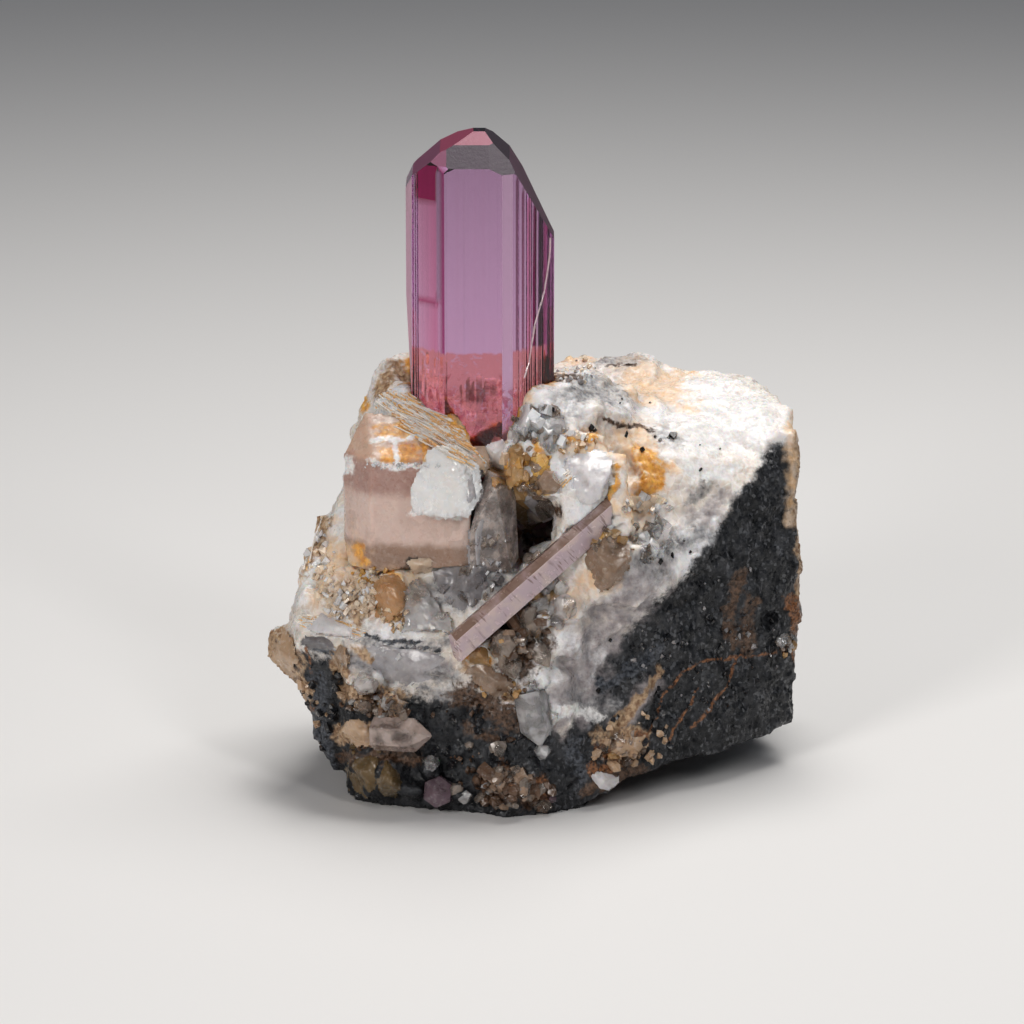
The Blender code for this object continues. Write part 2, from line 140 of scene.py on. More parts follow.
def shape_of(*things):
    """Some objects' meshes in one bmesh, in millimetres."""
    shape = bmesh.new()
    for thing in things:
        shape.from_mesh(thing.data)
    bmesh.ops.scale(shape, vec=(1 / MM,) * 3, verts=shape.verts)
    return shape


def tree_from(*things):
    """The surfaces of some objects in one search tree, in millimetres."""
    shape = shape_of(*things)
    tree = BVHTree.FromBMesh(shape)
    shape.free()
    return tree


def box_of(node):
    """Two opposite corners of a node's box, in millimetres."""
    return [corner / MM for corner in map(Vector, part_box(node))]


def cut_through(shape, place, normal, drop=False):
    """Cuts a bmesh by a plane, drops what is in front of it if asked, and returns what lies in the cut."""
    parts = shape.verts[:] + shape.edges[:] + shape.faces[:]
    return bmesh.ops.bisect_plane(
        shape, geom=parts, plane_co=place, plane_no=normal, clear_outer=drop
    )["geom_cut"]


def planes_of(node):
    """The faces of a node's convex hull, as points and outward normals in millimetres."""
    shape = shape_of(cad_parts[node])
    made = bmesh.ops.convex_hull(shape, input=shape.verts)
    inner = [v for v in made["geom_interior"] if isinstance(v, bmesh.types.BMVert)]
    bmesh.ops.delete(shape, geom=list(set(inner)), context="VERTS")
    unused = made["geom_unused"] + made["geom_holes"]
    loose = {f for f in unused if isinstance(f, bmesh.types.BMFace) and f.is_valid}
    bmesh.ops.delete(shape, geom=list(loose), context="FACES")
    bmesh.ops.remove_doubles(shape, verts=shape.verts, dist=0.001)
    bmesh.ops.dissolve_limit(shape, angle_limit=math.radians(1), verts=shape.verts, edges=shape.edges)
    bmesh.ops.recalc_face_normals(shape, faces=shape.faces)
    planes = [(f.calc_center_median(), f.normal.copy()) for f in shape.faces]
    shape.free()
    return planes


def outside(point, planes):
    """How far a point is outside a convex solid, and the face that it is outside of."""
    return max(((point - p).dot(n), i) for i, (p, n) in enumerate(planes))


def cut_block(planes, centre, reach):
    """What is left of a cube, reach to each side of centre, inside the planes."""
    block = bmesh.new()
    bmesh.ops.create_cube(block, size=2 * reach, matrix=Matrix.Translation(centre))
    trim(block, planes)
    return block


def trim(block, planes):
    """Cuts a closed bmesh by planes, and closes each cut."""
    for point, normal in planes:
        cut = cut_through(block, point, normal, True)
        rim = [e for e in cut if isinstance(e, bmesh.types.BMEdge)]
        if rim:
            bmesh.ops.edgeloop_fill(block, edges=rim)
    bmesh.ops.recalc_face_normals(block, faces=block.faces)


# The camera, the floor and the light

FLOOR_HALF = 2500
FLOOR_COLOUR = (0.80, 0.79, 0.78)
FLOOR_ROUGHNESS = 0.6
SKY_COLOUR = (0.82, 0.88, 1.0)
SKY_STRENGTH = 0.10
LIT_POINT = Vector((4, 0, 25))
# The softboxes: place, width and height, power and colour
LAMPS = {
    "overhead softbox": ((60, 85, 330), (240, 150), 0.82, (1.0, 0.98, 0.95)),
    "front softbox": ((-210, -320, 190), (110, 110), 0.58, (1.0, 0.97, 0.94)),
    "glint strip": ((150, -250, 260), (40, 140), 0.18, (1.0, 1.0, 1.0)),
}


def set_camera():
    camera = bpy.data.cameras.new("camera")
    camera.sensor_width = SENSOR
    camera.lens = SENSOR * DISTANCE / (PICTURE * PIXEL)
    camera.clip_start = NEAREST * MM
    thing = link(bpy.data.objects.new("camera", camera))
    thing.location = EYE * MM
    thing.rotation_euler = (math.pi / 2 - ELEVATION, 0, 0)
    bpy.context.scene.camera = thing


def lamp(name, place, size, power, colour):
    """A rectangular softbox that faces the middle of the object."""
    light = bpy.data.lights.new(name, "AREA")
    light.shape = "RECTANGLE"
    light.size, light.size_y = size[0] * MM, size[1] * MM
    light.energy = power
    light.color = colour
    thing = link(bpy.data.objects.new(name, light))
    thing.location = Vector(place) * MM
    aim = LIT_POINT - Vector(place)
    thing.rotation_euler = aim.to_track_quat("-Z", "Y").to_euler()


def set_stage():
    floor = bmesh.new()
    bmesh.ops.create_grid(floor, x_segments=1, y_segments=1, size=FLOOR_HALF)
    finish = bpy.data.materials.new("floor")
    finish.use_nodes = True
    shader = finish.node_tree.nodes["Principled BSDF"]
    shader.inputs["Base Color"].default_value = (*FLOOR_COLOUR, 1)
    shader.inputs["Roughness"].default_value = FLOOR_ROUGHNESS
    object_from("floor", floor, finish)
    world = bpy.data.worlds.new("studio")
    bpy.context.scene.world = world
    world.use_nodes = True
    background = world.node_tree.nodes["Background"]
    background.inputs["Color"].default_value = (*SKY_COLOUR, 1)
    background.inputs["Strength"].default_value = SKY_STRENGTH
    for name, values in LAMPS.items():
        lamp(name, *values)


# Where things are, seen through the camera

def sight(px, py):
    """The direction from the eye through a pixel of the picture."""
    half = PICTURE / 2
    return (TARGET + RIGHT * (px - half) * PIXEL + UP * (half - py) * PIXEL - EYE).normalized()


def look(surface, px, py):
    """The place on a surface that shows at a pixel, its normal, its face and how far off it is."""
    return surface.ray_cast(EYE, sight(px, py))


solids = tree_from(*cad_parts.values())


# What is painted on the minerals. A stroke has a half width and the pixels that it runs through.
STROKES = {
    "grey": [
        (11, [(352, 640), (400, 646), (446, 644)]), (10, [(420, 690), (470, 696)]),
        (20, [(572, 400), (598, 388), (622, 398)]), (9, [(600, 362), (640, 362)]),
        (10, [(656, 434), (688, 446)]), (16, [(668, 548), (700, 535)]),
        (24, [(438, 598), (470, 590), (505, 585)]), (10, [(308, 642), (330, 650)]),
        (13, [(345, 664), (400, 668), (450, 676)]), (16, [(530, 520), (548, 512)]),
        (12, [(340, 600), (352, 585)]), (14, [(505, 425), (525, 415)]), (14, [(575, 700), (610, 706)]),
        (12, [(640, 560), (655, 570)]), (10, [(690, 500), (708, 480)]),
    ],
    "dark": [
        (3, [(366, 636), (398, 642), (420, 640)]), (3, [(402, 648), (440, 650)]),
        (5, [(303, 640), (330, 652)]), (12, [(318, 680), (322, 740), (330, 770)]),
        (10, [(600, 684), (630, 672), (655, 650)]), (12, [(570, 745), (580, 775)]),
    ],
    "peach": [
        (26, [(640, 382), (668, 388), (690, 392)]), (20, [(578, 446), (600, 440), (622, 452)]),
        (30, [(632, 445), (646, 478), (640, 505)]), (8, [(560, 357), (590, 357)]),
        (9, [(792, 420), (795, 470), (793, 520)]), (14, [(522, 392), (506, 408), (496, 425)]),
        (8, [(312, 620), (326, 616)]), (24, [(345, 560), (320, 540), (312, 585)]),
        (26, [(345, 590), (375, 600), (400, 590)]), (20, [(350, 425), (345, 450)]),
        (14, [(560, 620), (600, 560), (610, 580)]), (14, [(780, 395), (795, 430)]),
    ],
    "tan": [
        (22, [(268, 640), (282, 668), (296, 690)]), (12, [(342, 735), (378, 728)]),
        (9, [(392, 362), (412, 385)]), (5, [(799, 430), (799, 520), (799, 600)]),
        (9, [(322, 520), (308, 570)]), (9, [(430, 408), (470, 430)]), (16, [(335, 598), (360, 612)]),
        (5, [(659, 668), (645, 695)]), (8, [(640, 700), (618, 726)]), (4, [(616, 468), (613, 500)]),
        (8, [(334, 650), (342, 672)]), (12, [(604, 740), (640, 738)]), (5, [(518, 500), (517, 560)]),
        (5, [(372, 660), (352, 648)]), (12, [(388, 375), (383, 392)]),
        (12, [(468, 668), (496, 684), (520, 700)]), (14, [(345, 692), (392, 700), (390, 715)]),
    ],
    "amber": [
        (11, [(384, 432), (400, 426), (408, 432)]), (13, [(386, 455), (408, 452)]),
        (4, [(422, 441), (424, 457)]), (10, [(356, 550), (362, 560)]),
        (11, [(392, 582), (398, 600), (388, 612)]), (5, [(504, 455), (508, 474), (518, 486)]),
        (4, [(517, 446), (526, 462)]), (6, [(536, 440), (543, 460)]), (8, [(530, 478), (545, 490)]),
        (5, [(560, 436), (582, 438), (597, 436)]), (3, [(618, 468), (613, 500)]),
        (17, [(646, 458), (653, 478), (646, 498)]), (8, [(598, 528), (608, 542)]),
        (8, [(412, 410), (440, 420), (468, 438)]), (6, [(358, 412), (366, 402)]),
        (10, [(470, 650), (488, 662)]), (6, [(404, 656), (410, 668)]), (7, [(505, 616), (520, 628)]),
    ],
    "white": [
        (7, [(380, 400), (430, 425), (482, 455)]), (4, [(368, 462), (395, 468), (425, 466)]),
        (3, [(370, 440), (400, 438), (422, 436)]), (3, [(396, 440), (398, 464)]),
        (14, [(690, 470), (730, 470)]), (8, [(305, 625), (340, 630), (358, 636)]),
        (10, [(318, 560), (300, 600)]), (34, [(710, 390), (750, 420), (700, 440)]),
        (12, [(535, 420), (545, 432)]), (8, [(345, 470), (350, 462)]),
        (8, [(545, 716), (575, 708), (600, 720)]), (10, [(455, 472), (480, 480)]),
        # Painted highlight: a white rim along the foot of the clear chip.
        (4, [(412, 512), (440, 518), (462, 516), (476, 500), (488, 492)]),
    ],
    "rust": [
        (1.8, [(735, 656), (705, 661), (684, 668), (664, 698)]),
        (2, [(737, 660), (727, 684), (702, 718), (690, 728)]),
        (1.8, [(664, 698), (652, 728), (640, 748)]), (1.6, [(705, 660), (745, 657), (782, 652)]),
        (2, [(700, 690), (680, 720), (668, 740)]), (8, [(592, 770), (608, 776)]),
        (10, [(640, 740), (625, 760), (605, 752)]), (4, [(312, 704), (316, 744)]),
        (2, [(282, 676), (296, 668)]), (14, [(500, 776), (540, 790)]), (5, [(785, 640), (795, 660)]),
        (8, [(790, 600), (798, 630)]), (3, [(505, 470), (512, 486)]), (2, [(306, 640), (314, 680)]),
    ],
    "brown": [
        (3, [(604, 419), (625, 428), (655, 428)]), (3, [(608, 367), (634, 364)]),
        (9, [(520, 495), (545, 505), (556, 512)]), (6, [(402, 570), (412, 560), (420, 562)]),
        (10, [(345, 758), (415, 756)]), (7, [(530, 515), (528, 552)]), (8, [(470, 730), (500, 740)]),
        (10, [(488, 625), (520, 660)]), (6, [(560, 377), (580, 380)]), (10, [(590, 790), (640, 770)]),
        (14, [(490, 790), (530, 800)]), (18, [(462, 696), (492, 706), (520, 722)]),
        (20, [(516, 618), (538, 644), (516, 668)]), (9, [(742, 575), (728, 606), (734, 644)]),
        (9, [(752, 600), (745, 650)]),
    ],
    "haze": [
        (30, [(572, 700), (590, 650), (618, 606), (652, 572)]), (16, [(556, 715), (585, 712)]),
        (13, [(652, 686), (618, 728)]), (12, [(350, 662), (400, 664), (445, 668)]),
        (14, [(700, 520), (720, 500)]),
    ],
    "smooth": [
        (44, [(640, 610), (590, 650), (560, 700)]), (16, [(300, 640), (380, 630)]),
        (44, [(720, 400), (700, 440)]), (20, [(400, 665), (450, 670)]),
    ],
    "rubble": [
        (24, [(340, 595), (385, 610)]), (30, [(520, 620), (510, 690)]), (26, [(490, 780), (530, 790)]),
        (26, [(370, 700), (395, 715)]), (20, [(610, 530), (600, 580)]), (18, [(540, 430), (590, 424)]),
        (20, [(650, 690), (620, 760)]),
    ],
}
# The kinds that change how rough the surface is, and not its colour
TEXTURES = ("smooth", "rubble")
# How far in depth a stroke reaches, and how many half widths out it ends. It is full from one half width
# nearer its middle.
STROKE_DEPTH = 5.0
STROKE_END = 1.35
# How far a stroke's edge wavers: a share of its half width, and pixels on top
STROKE_WAVER = 0.5
STROKE_SHAKE = 2
# How wide the waves and the ripples of that edge are, and the waves of the contact
WAVE = 1.6
RIPPLE = 0.5
CONTACT_WAVE = 3.5

# Stains and veins where the picture shows nothing: how wide they are, the noise at which they start, and
# how fast they grow from there
VEINS = {
    "amber": (7.0, 0.34, 1.6), "tan": (5.0, 0.2, 1.7), "rust": (4.0, 0.32, 1.8), "grey": (6.0, 0.1, 1.6),
    "peach": (8.0, 0.05, 1.2),
}
# The stain on the rock round the foot of the pink crystal: the height that it starts at, how many times its
# fade it reaches from the crystal, that fade, and how wide its patches are
SOCKET_FLOOR = 18.0
SOCKET_REACH = 1.6
SOCKET_FADE = 0.9
SOCKET_PATCH = 1.7

# The contact of the calcite on the dark limestone: places from left to right, and its height at each
CONTACT = [
    (-18, 13.2), (-15.5, 13.0), (-12.8, 13.2), (-11.1, 11.0), (-8.5, 10.6), (-4.2, 10.8), (0.1, 10.2),
    (3.6, 8.8), (7.5, 7.5), (8.8, 9.6), (11.2, 13.4), (14.4, 17.3), (17.9, 20.1), (20.6, 22.5),
    (22.6, 25.5), (24.9, 28.3), (26, 28.8), (29, 29),
]


def to_picture(points):
    """The pixels that points show at, and their distance from the eye along the view."""
    offset = points - np.array(EYE)
    depth = offset @ np.array(FORWARD)
    scale = DISTANCE / (depth * PIXEL)
    px = PICTURE / 2 + offset @ np.array(RIGHT) * scale
    py = PICTURE / 2 - offset @ np.array(UP) * scale
    return px, py, depth


def distance_to_line(px, py, line):
    """How far each pixel is from a broken line."""
    best = np.full(len(px), np.inf)
    for (ax, ay), (bx, by) in zip(line, line[1:] or line):
        length = max(1e-6, (bx - ax) ** 2 + (by - ay) ** 2)
        t = np.clip(((px - ax) * (bx - ax) + (py - ay) * (by - ay)) / length, 0, 1)
        away = np.hypot(px - ax - t * (bx - ax), py - ay - t * (by - ay))
        best = np.minimum(best, away)
    return best


def amounts_of(points):
    """How much of each stroke kind there is at each point, and how far below the contact it lies."""
    array = np.array([p[:] for p in points])
    waves = [noise.noise_vector(p / WAVE) + 0.5 * noise.noise_vector(p / RIPPLE) for p in points]
    waver = np.array([wave[:] for wave in waves])
    px, py, depth = to_picture(array)
    found = {}
    for kind, strokes in STROKES.items():
        amount = np.zeros(len(points))
        for half, line in strokes:
            hits = [look(solids, *pixel)[0] for pixel in line]
            depths = [(hit - EYE).dot(FORWARD) for hit in hits if hit]
            if not depths:
                continue
            shake = half * STROKE_WAVER + STROKE_SHAKE
            away = distance_to_line(px + waver[:, 0] * shake, py + waver[:, 1] * shake, line)
            near = (depth > min(depths) - STROKE_DEPTH) & (depth < max(depths) + STROKE_DEPTH)
            amount = np.maximum(amount, np.clip(STROKE_END - away / half, 0, 1) * near)
        found[kind] = amount
    contact = np.interp(array[:, 0], *zip(*CONTACT))
    found["limestone"] = contact - array[:, 2] + np.array([noise.noise(p / CONTACT_WAVE) for p in points])
    return found


def hidden_side(points, normals):
    """How far a point is round the back, where the picture shows nothing: 0 to 1."""
    turn = np.array([n.dot(FORWARD) for n in normals])
    return np.clip(turn * 3 + 0.3, 0, 1)


def stain_behind(found, points, normals):
    """Goes on with the stains and veins round the sides and the back."""
    behind = hidden_side(points, normals)
    for shift, (kind, (size, least, gain)) in enumerate(VEINS.items()):
        offset = Vector((13.7 * shift, 5.1, 9.3))
        scaled = [p / size for p in points]
        field = np.array([noise.noise(p + offset) + 0.4 * noise.noise(p * 3.1) for p in scaled])
        found[kind] = np.maximum(found[kind], behind * np.clip((field - least) * gain, 0, 1))


def tint_socket(found, points):
    """Stains the rock that lies against the pink crystal, which shows through it."""
    planes = planes_of("topaz_crystal")
    gaps = np.array([outside(p, planes)[0] for p in points])
    heights = np.array([p.z for p in points])
    near = np.clip(SOCKET_REACH - gaps / SOCKET_FADE, 0, 1) * (heights > SOCKET_FLOOR)
    patches = np.array([noise.noise(p / SOCKET_PATCH) for p in points])
    found["amber"] = np.maximum(found["amber"], near * np.clip(0.9 + patches, 0, 1.2))
    found["tan"] = np.maximum(found["tan"], near * np.clip(patches * 2, 0, 1))


def chipped(point):
    """How far a point of a broken surface stands out, as small flat chips."""
    height = 0.0
    for width, lean, step in CHIPS:
        scaled = point / width
        chip = noise.voronoi(scaled)[1][0]
        slope = noise.noise_vector(chip * math.pi)
        height += lean * (scaled - chip).dot(slope) + step * noise.noise(chip * math.tau)
    return height


def hug(points, origins, crystals):
    """Draws the rock's points that are next to a crystal up against it, on the side that they came from."""
    for i, (point, origin) in enumerate(zip(points, origins)):
        for planes, middle, radius in crystals:
            if (point - middle).length > radius:
                continue
            gap, face = outside(point, planes)
            if gap < CONTACT_REACH:
                share = max(0.0, 1 - max(0.0, gap - CONTACT_NEAR) / (CONTACT_REACH - CONTACT_NEAR))
                pull = share * share * (gap - CONTACT_GAP)
                if gap < CONTACT_GAP:
                    face = outside(origin, planes)[1]
                    pull = (point - planes[face][0]).dot(planes[face][1]) - CONTACT_GAP
                points[i] = point = point - planes[face][1] * pull
    return points


def rock_surface(finish):
    """The rock: chipped all over, painted, drawn up to its crystals, and flat where it stands."""
    rock, points, normals = fine_mesh("calcite_and_limestone", "matrix_rock", ROCK_VOXEL)
    found = amounts_of(points)
    stain_behind(found, points, normals)
    rough = 1 + found["rubble"] - 0.6 * found["smooth"]
    shifted = [p + n * chipped(p) * r for p, n, r in zip(points, normals, rough)]
    crystals = []
    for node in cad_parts:
        if node != "matrix_rock":
            low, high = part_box(node)
            middle = (Vector(low) + Vector(high)) / 2 / MM
            radius = (Vector(high) - Vector(low)).length / 2 / MM + CONTACT_REACH
            crystals.append((planes_of(node), middle, radius))
    tint_socket(found, points)
    shifted = hug(shifted, points, crystals)
    for p in shifted:
        p.z = max(p.z, 0.0)
    finish_mesh(rock, shifted, found, finish)
    return dress(rock, "matrix", "matrix_rock")


# Materials

TOPAZ_IOR = 1.62
CALCITE_IOR = 1.6
STAINED_IOR = 1.58
QUARTZ_IOR = 1.55
# What the pink topaz takes out of the light
ABSORPTION_COLOUR = (0.62, 0.08, 0.56)
ABSORPTION_DENSITY = 88.0
# The heights at which the foot's cracks, and its painted orange light from the stained rock behind, start
# and are full
CRACKED_FOOT = (36.8, 35.2)
PAINTED_ROCK_GLOW = (39.4, 39.1)


class Nodes:
    """A short way to write a material's nodes."""

    def __init__(self, name):
        self.material = bpy.data.materials.new(name)
        self.material.use_nodes = True
        self.tree = self.material.node_tree
        self.shader = self.tree.nodes["Principled BSDF"]
        self.output = self.tree.nodes["Material Output"]
        self.place = self.add("ShaderNodeTexCoord").outputs["Object"]

    def add(self, kind, **values):
        node = self.tree.nodes.new(kind)
        for key, value in values.items():
            setattr(node, key, value)
        return node

    def feed(self, socket, value):
        if isinstance(value, bpy.types.NodeSocket):
            self.tree.links.new(value, socket)
        elif socket.type == "RGBA":
            socket.default_value = (*value, 1)
        else:
            socket.default_value = value

    def set(self, name, value):
        self.feed(self.shader.inputs[name], value)

    def glow(self, weight, radius, size):
        """Lets light spread under the surface: how much, how far each colour goes, and in millimetres."""
        self.set("Subsurface Weight", weight)
        self.set("Subsurface Radius", radius)
        self.set("Subsurface Scale", size * MM)

    def math(self, operation, a, b):
        node = self.add("ShaderNodeMath", operation=operation)
        self.feed(node.inputs[0], a)
        self.feed(node.inputs[1], b)
        return node.outputs[0]

    def times(self, a, b):
        return self.math("MULTIPLY", a, b)

    def plus(self, a, b):
        return self.math("ADD", a, b)

    def minus(self, a, b):
        return self.math("SUBTRACT", a, b)

    def vector(self, operation, a, b):
        node = self.add("ShaderNodeVectorMath", operation=operation)
        self.feed(node.inputs[0], a)
        self.feed(node.inputs["Scale" if operation == "SCALE" else 1], b)
        return node.outputs["Value" if operation == "DOT_PRODUCT" else 0]

    def part(self, vector, axis):
        split = self.add("ShaderNodeSeparateXYZ")
        self.feed(split.inputs[0], vector)
        return split.outputs[axis]

    def coordinate(self, place, axis):
        """One coordinate of a place, in millimetres."""
        return self.math("DIVIDE", self.part(place, axis), MM)

    def normal(self):
        return self.add("ShaderNodeNewGeometry").outputs["Normal"]

    def stretch(self, value, low, high, to_low=0.0, to_high=1.0):
        node = self.add("ShaderNodeMapRange", interpolation_type="SMOOTHSTEP")
        for socket, number in zip(node.inputs, (value, low, high, to_low, to_high)):
            self.feed(socket, number)
        return node.outputs[0]

    def mix(self, share, a, b):
        node = self.add("ShaderNodeMix", data_type="RGBA")
        self.feed(node.inputs[0], share)
        self.feed(node.inputs[6], a)
        self.feed(node.inputs[7], b)
        return node.outputs[2]

    def noise(self, size, detail=3.0, roughness=0.55, distortion=0.0, place=None):
        """Noise whose lumps are about this many millimetres wide, from 0 to 1."""
        return self.noise_node(size, detail, roughness, distortion, place).outputs[0]

    def noise_node(self, size, detail=3.0, roughness=0.55, distortion=0.0, place=None):
        node = self.add("ShaderNodeTexNoise")
        self.feed(node.inputs["Vector"], place or self.place)
        node.inputs["Scale"].default_value = 1 / (size * MM)
        node.inputs["Detail"].default_value = detail
        node.inputs["Roughness"].default_value = roughness
        node.inputs["Distortion"].default_value = distortion
        return node

    def shaken(self, size, amount):
        """The place, moved about by noise: both in millimetres."""
        shake = self.vector("SUBTRACT", self.noise_node(size, 2).outputs["Color"], (0.5, 0.5, 0.5))
        return self.vector("ADD", self.place, self.vector("SCALE", shake, 2 * amount * MM))

    def cells(self, size, feature="F1", place=None):
        node = self.add("ShaderNodeTexVoronoi", feature=feature)
        self.feed(node.inputs["Vector"], place or self.place)
        node.inputs["Scale"].default_value = 1 / (size * MM)
        return node

    def attribute(self, name, output="Fac"):
        return self.add("ShaderNodeAttribute", attribute_name=name).outputs[output]

    def one_of(self, cells):
        """A random number for each cell, 0 to 1."""
        split = self.add("ShaderNodeSeparateColor")
        self.feed(split.inputs[0], cells.outputs["Color"])
        return split.outputs[0]

    def tilted(self, cells, amount, normal=None):
        """The surface's normal, turned a little another way in each cell, as on a broken crystal."""
        lean = self.vector("SUBTRACT", cells.outputs["Color"], (0.5, 0.5, 0.5))
        leaning = self.vector("ADD", normal or self.normal(), self.vector("SCALE", lean, amount))
        return self.vector("NORMALIZE", leaning, (0, 0, 0))

    def bump(self, height, distance, strength=1.0, normal=None):
        node = self.add("ShaderNodeBump")
        node.inputs["Distance"].default_value = distance * MM
        self.feed(node.inputs["Strength"], strength)
        self.feed(node.inputs["Height"], height)
        if normal is not None:
            self.feed(node.inputs["Normal"], normal)
        return node.outputs[0]


def patch(n, colour, kind, a, b, low, high, size):
    """Lays a painted mineral over the colour, with a ragged edge and a tone that varies from a to b."""
    ragged = n.times(n.minus(n.noise(size, 5, 0.68), 0.5), 2.0)
    amount = n.plus(n.attribute(kind), ragged)
    tint = n.mix(n.stretch(n.noise(size * 0.55, 3), 0.3, 0.7), a, b)
    present = n.stretch(n.attribute(kind), 0.02, 0.3)
    return n.mix(n.times(present, n.stretch(amount, low, high)), colour, tint)


# The painted minerals, each over the one before: two colours, the amounts at which it starts and is full,
# and how wide its grain is
MINERALS = {
    "haze": ((0.27, 0.24, 0.245), (0.44, 0.40, 0.40), 0.15, 1.3, 1.2),
    "grey": ((0.16, 0.16, 0.17), (0.46, 0.45, 0.45), 0.3, 1.4, 0.8),
    "peach": ((0.84, 0.56, 0.32), (0.80, 0.64, 0.50), 0.1, 1.4, 1.6),
    "tan": ((0.24, 0.14, 0.08), (0.60, 0.44, 0.29), 0.3, 0.9, 0.8),
    "amber": ((0.93, 0.52, 0.13), (0.62, 0.28, 0.06), 0.3, 1.1, 0.8),
    "white": ((0.93, 0.92, 0.91), (0.80, 0.77, 0.75), 0.3, 1.0, 0.5),
    "rust": ((0.07, 0.035, 0.022), (0.36, 0.17, 0.08), 0.35, 0.9, 0.5),
    "dark": ((0.02, 0.022, 0.027), (0.12, 0.13, 0.15), 0.4, 0.9, 0.6),
    "brown": ((0.040, 0.024, 0.016), (0.17, 0.105, 0.07), 0.4, 1.0, 0.6),
}


def stained(n, colour):
    """The stains and other minerals that lie on the calcite and the limestone."""
    for kind, values in MINERALS.items():
        colour = patch(n, colour, kind, *values)
    return colour


def rock_finish():
    """White calcite in chips and cleavage faces, which passes into sugary dark limestone with sparks, with
    painted shade that darkens it towards the left.
    """
    n = Nodes("calcite_and_limestone")
    grain = n.noise(0.3, 4, 0.65)
    broad = n.noise(6.0, 3, 0.55)
    facets = n.cells(1.1, place=n.shaken(0.8, 0.35))
    cracks = n.cells(1.1, "DISTANCE_TO_EDGE", n.shaken(0.8, 0.35)).outputs["Distance"]
    sugar = n.cells(0.28)
    upright = n.vector("MULTIPLY", n.place, (1.0, 1.0, 0.3))

    white = n.mix(n.stretch(broad, 0.35, 0.65), (0.78, 0.70, 0.62), (0.84, 0.83, 0.84))
    white = n.mix(n.stretch(n.one_of(facets), 0.4, 1.0, 0, 0.4), white, (0.56, 0.51, 0.47))
    white = n.mix(n.stretch(cracks, 0.08, 0.0, 0, 0.5), white, (0.97, 0.95, 0.93))
    white = n.mix(n.stretch(n.noise(0.5, 5, 0.7), 0.55, 0.72, 0, 0.55), white, (0.50, 0.42, 0.35))

    spark = n.stretch(n.one_of(sugar), 0.82, 0.95)
    tone = n.stretch(n.noise(1.5, 5, 0.65), 0.35, 0.7)
    dark = n.mix(tone, (0.007, 0.008, 0.010), (0.045, 0.047, 0.052))
    streaks = n.stretch(n.noise(0.35, 4, 0.7, 0.4, upright), 0.56, 0.7)
    # Painted shade: the limestone's pale streaks and sparks fade towards the left, so it is darker there.
    painted_shade_ramp = n.stretch(n.coordinate(n.place, "X"), -4.0, 9.0, 0.3, 1.0)
    dark = n.mix(n.times(streaks, n.times(painted_shade_ramp, 0.55)), dark, (0.22, 0.22, 0.24))
    dark = n.mix(n.times(spark, n.times(painted_shade_ramp, 0.3)), dark, (0.30, 0.31, 0.33))
    frayed = n.times(n.minus(n.noise(1.0, 6, 0.75), 0.5), 3.4)
    limestone = n.stretch(n.plus(n.attribute("limestone"), frayed), -0.4, 0.7)
    colour = stained(n, n.mix(limestone, white, dark))

    n.set("Base Color", colour)
    n.set("Roughness", n.stretch(n.one_of(sugar), 0.1, 0.9, 0.55, 0.22))
    n.glow(n.minus(0.5, n.times(limestone, 0.5)), (1.0, 0.68, 0.48), 0.9)
    leaning = n.tilted(facets, 0.3)
    leaning = n.tilted(sugar, n.plus(n.times(limestone, 0.45), 0.16), leaning)
    n.set("Normal", n.bump(grain, 0.1, 0.6, leaning))
    return n.material


def tinted(name, roughness, ior, tilt=0.25, soft=0.25):
    """Small crystals and lumps, each with its own tint and its own clearness."""
    n = Nodes(name)
    facets = n.cells(0.6, place=n.shaken(0.5, 0.2))
    veil = n.stretch(n.noise(1.6, 3, 0.5), 0.3, 0.7)
    tint = n.attribute("tint", "Color")
    pale = n.mix(0.45, tint, (0.9, 0.88, 0.86))
    deep = n.mix(0.35, tint, (0.12, 0.08, 0.05))
    colour = n.mix(n.stretch(n.noise(0.45, 4, 0.65), 0.5, 0.75, 0, 0.8), tint, pale)
    n.set("Base Color", n.mix(n.stretch(n.noise(0.7, 3), 0.52, 0.7, 0, 0.5), colour, deep))
    n.set("Roughness", n.stretch(n.one_of(facets), 0.2, 0.9, roughness * 0.4, roughness * 1.8))
    n.set("IOR", ior)
    n.glow(soft, (1.0, 0.7, 0.5), 0.6)
    n.set("Transmission Weight", n.times(n.stretch(veil, 0, 1, 1.0, 0.6), n.attribute("clear")))
    n.set("Normal", n.bump(n.noise(0.22, 4, 0.6), 0.03, 1.0, n.tilted(facets, tilt)))
    return n.material


def chip_finish(name, light, shade, clear, edging):
    """A broken piece of clear or smoky calcite, with bright edges and veils inside."""
    n = Nodes(name)
    facets = n.cells(2.1, place=n.shaken(1.2, 0.5))
    edges = n.cells(2.1, "DISTANCE_TO_EDGE", n.shaken(1.2, 0.5)).outputs["Distance"]
    colour = n.mix(n.stretch(n.noise(1.8, 4, 0.6), 0.4, 0.7), light, shade)
    colour = n.mix(n.stretch(edges, 0.035, 0.0, 0, edging), colour, (0.97, 0.97, 0.97))
    n.set("Base Color", stained(n, colour))
    n.set("Roughness", n.stretch(n.noise(0.7, 3), 0.35, 0.65, 0.08, 0.32))
    n.set("IOR", CALCITE_IOR)
    n.glow(0.6, (1.0, 0.85, 0.75), 1.2)
    n.set("Transmission Weight", n.stretch(n.noise(0.9, 4, 0.6), 0.4, 0.7, clear, 0.05))
    n.set("Normal", n.bump(n.noise(0.5, 4, 0.6), 0.015, 1.0, n.tilted(facets, 0.3)))
    return n.material


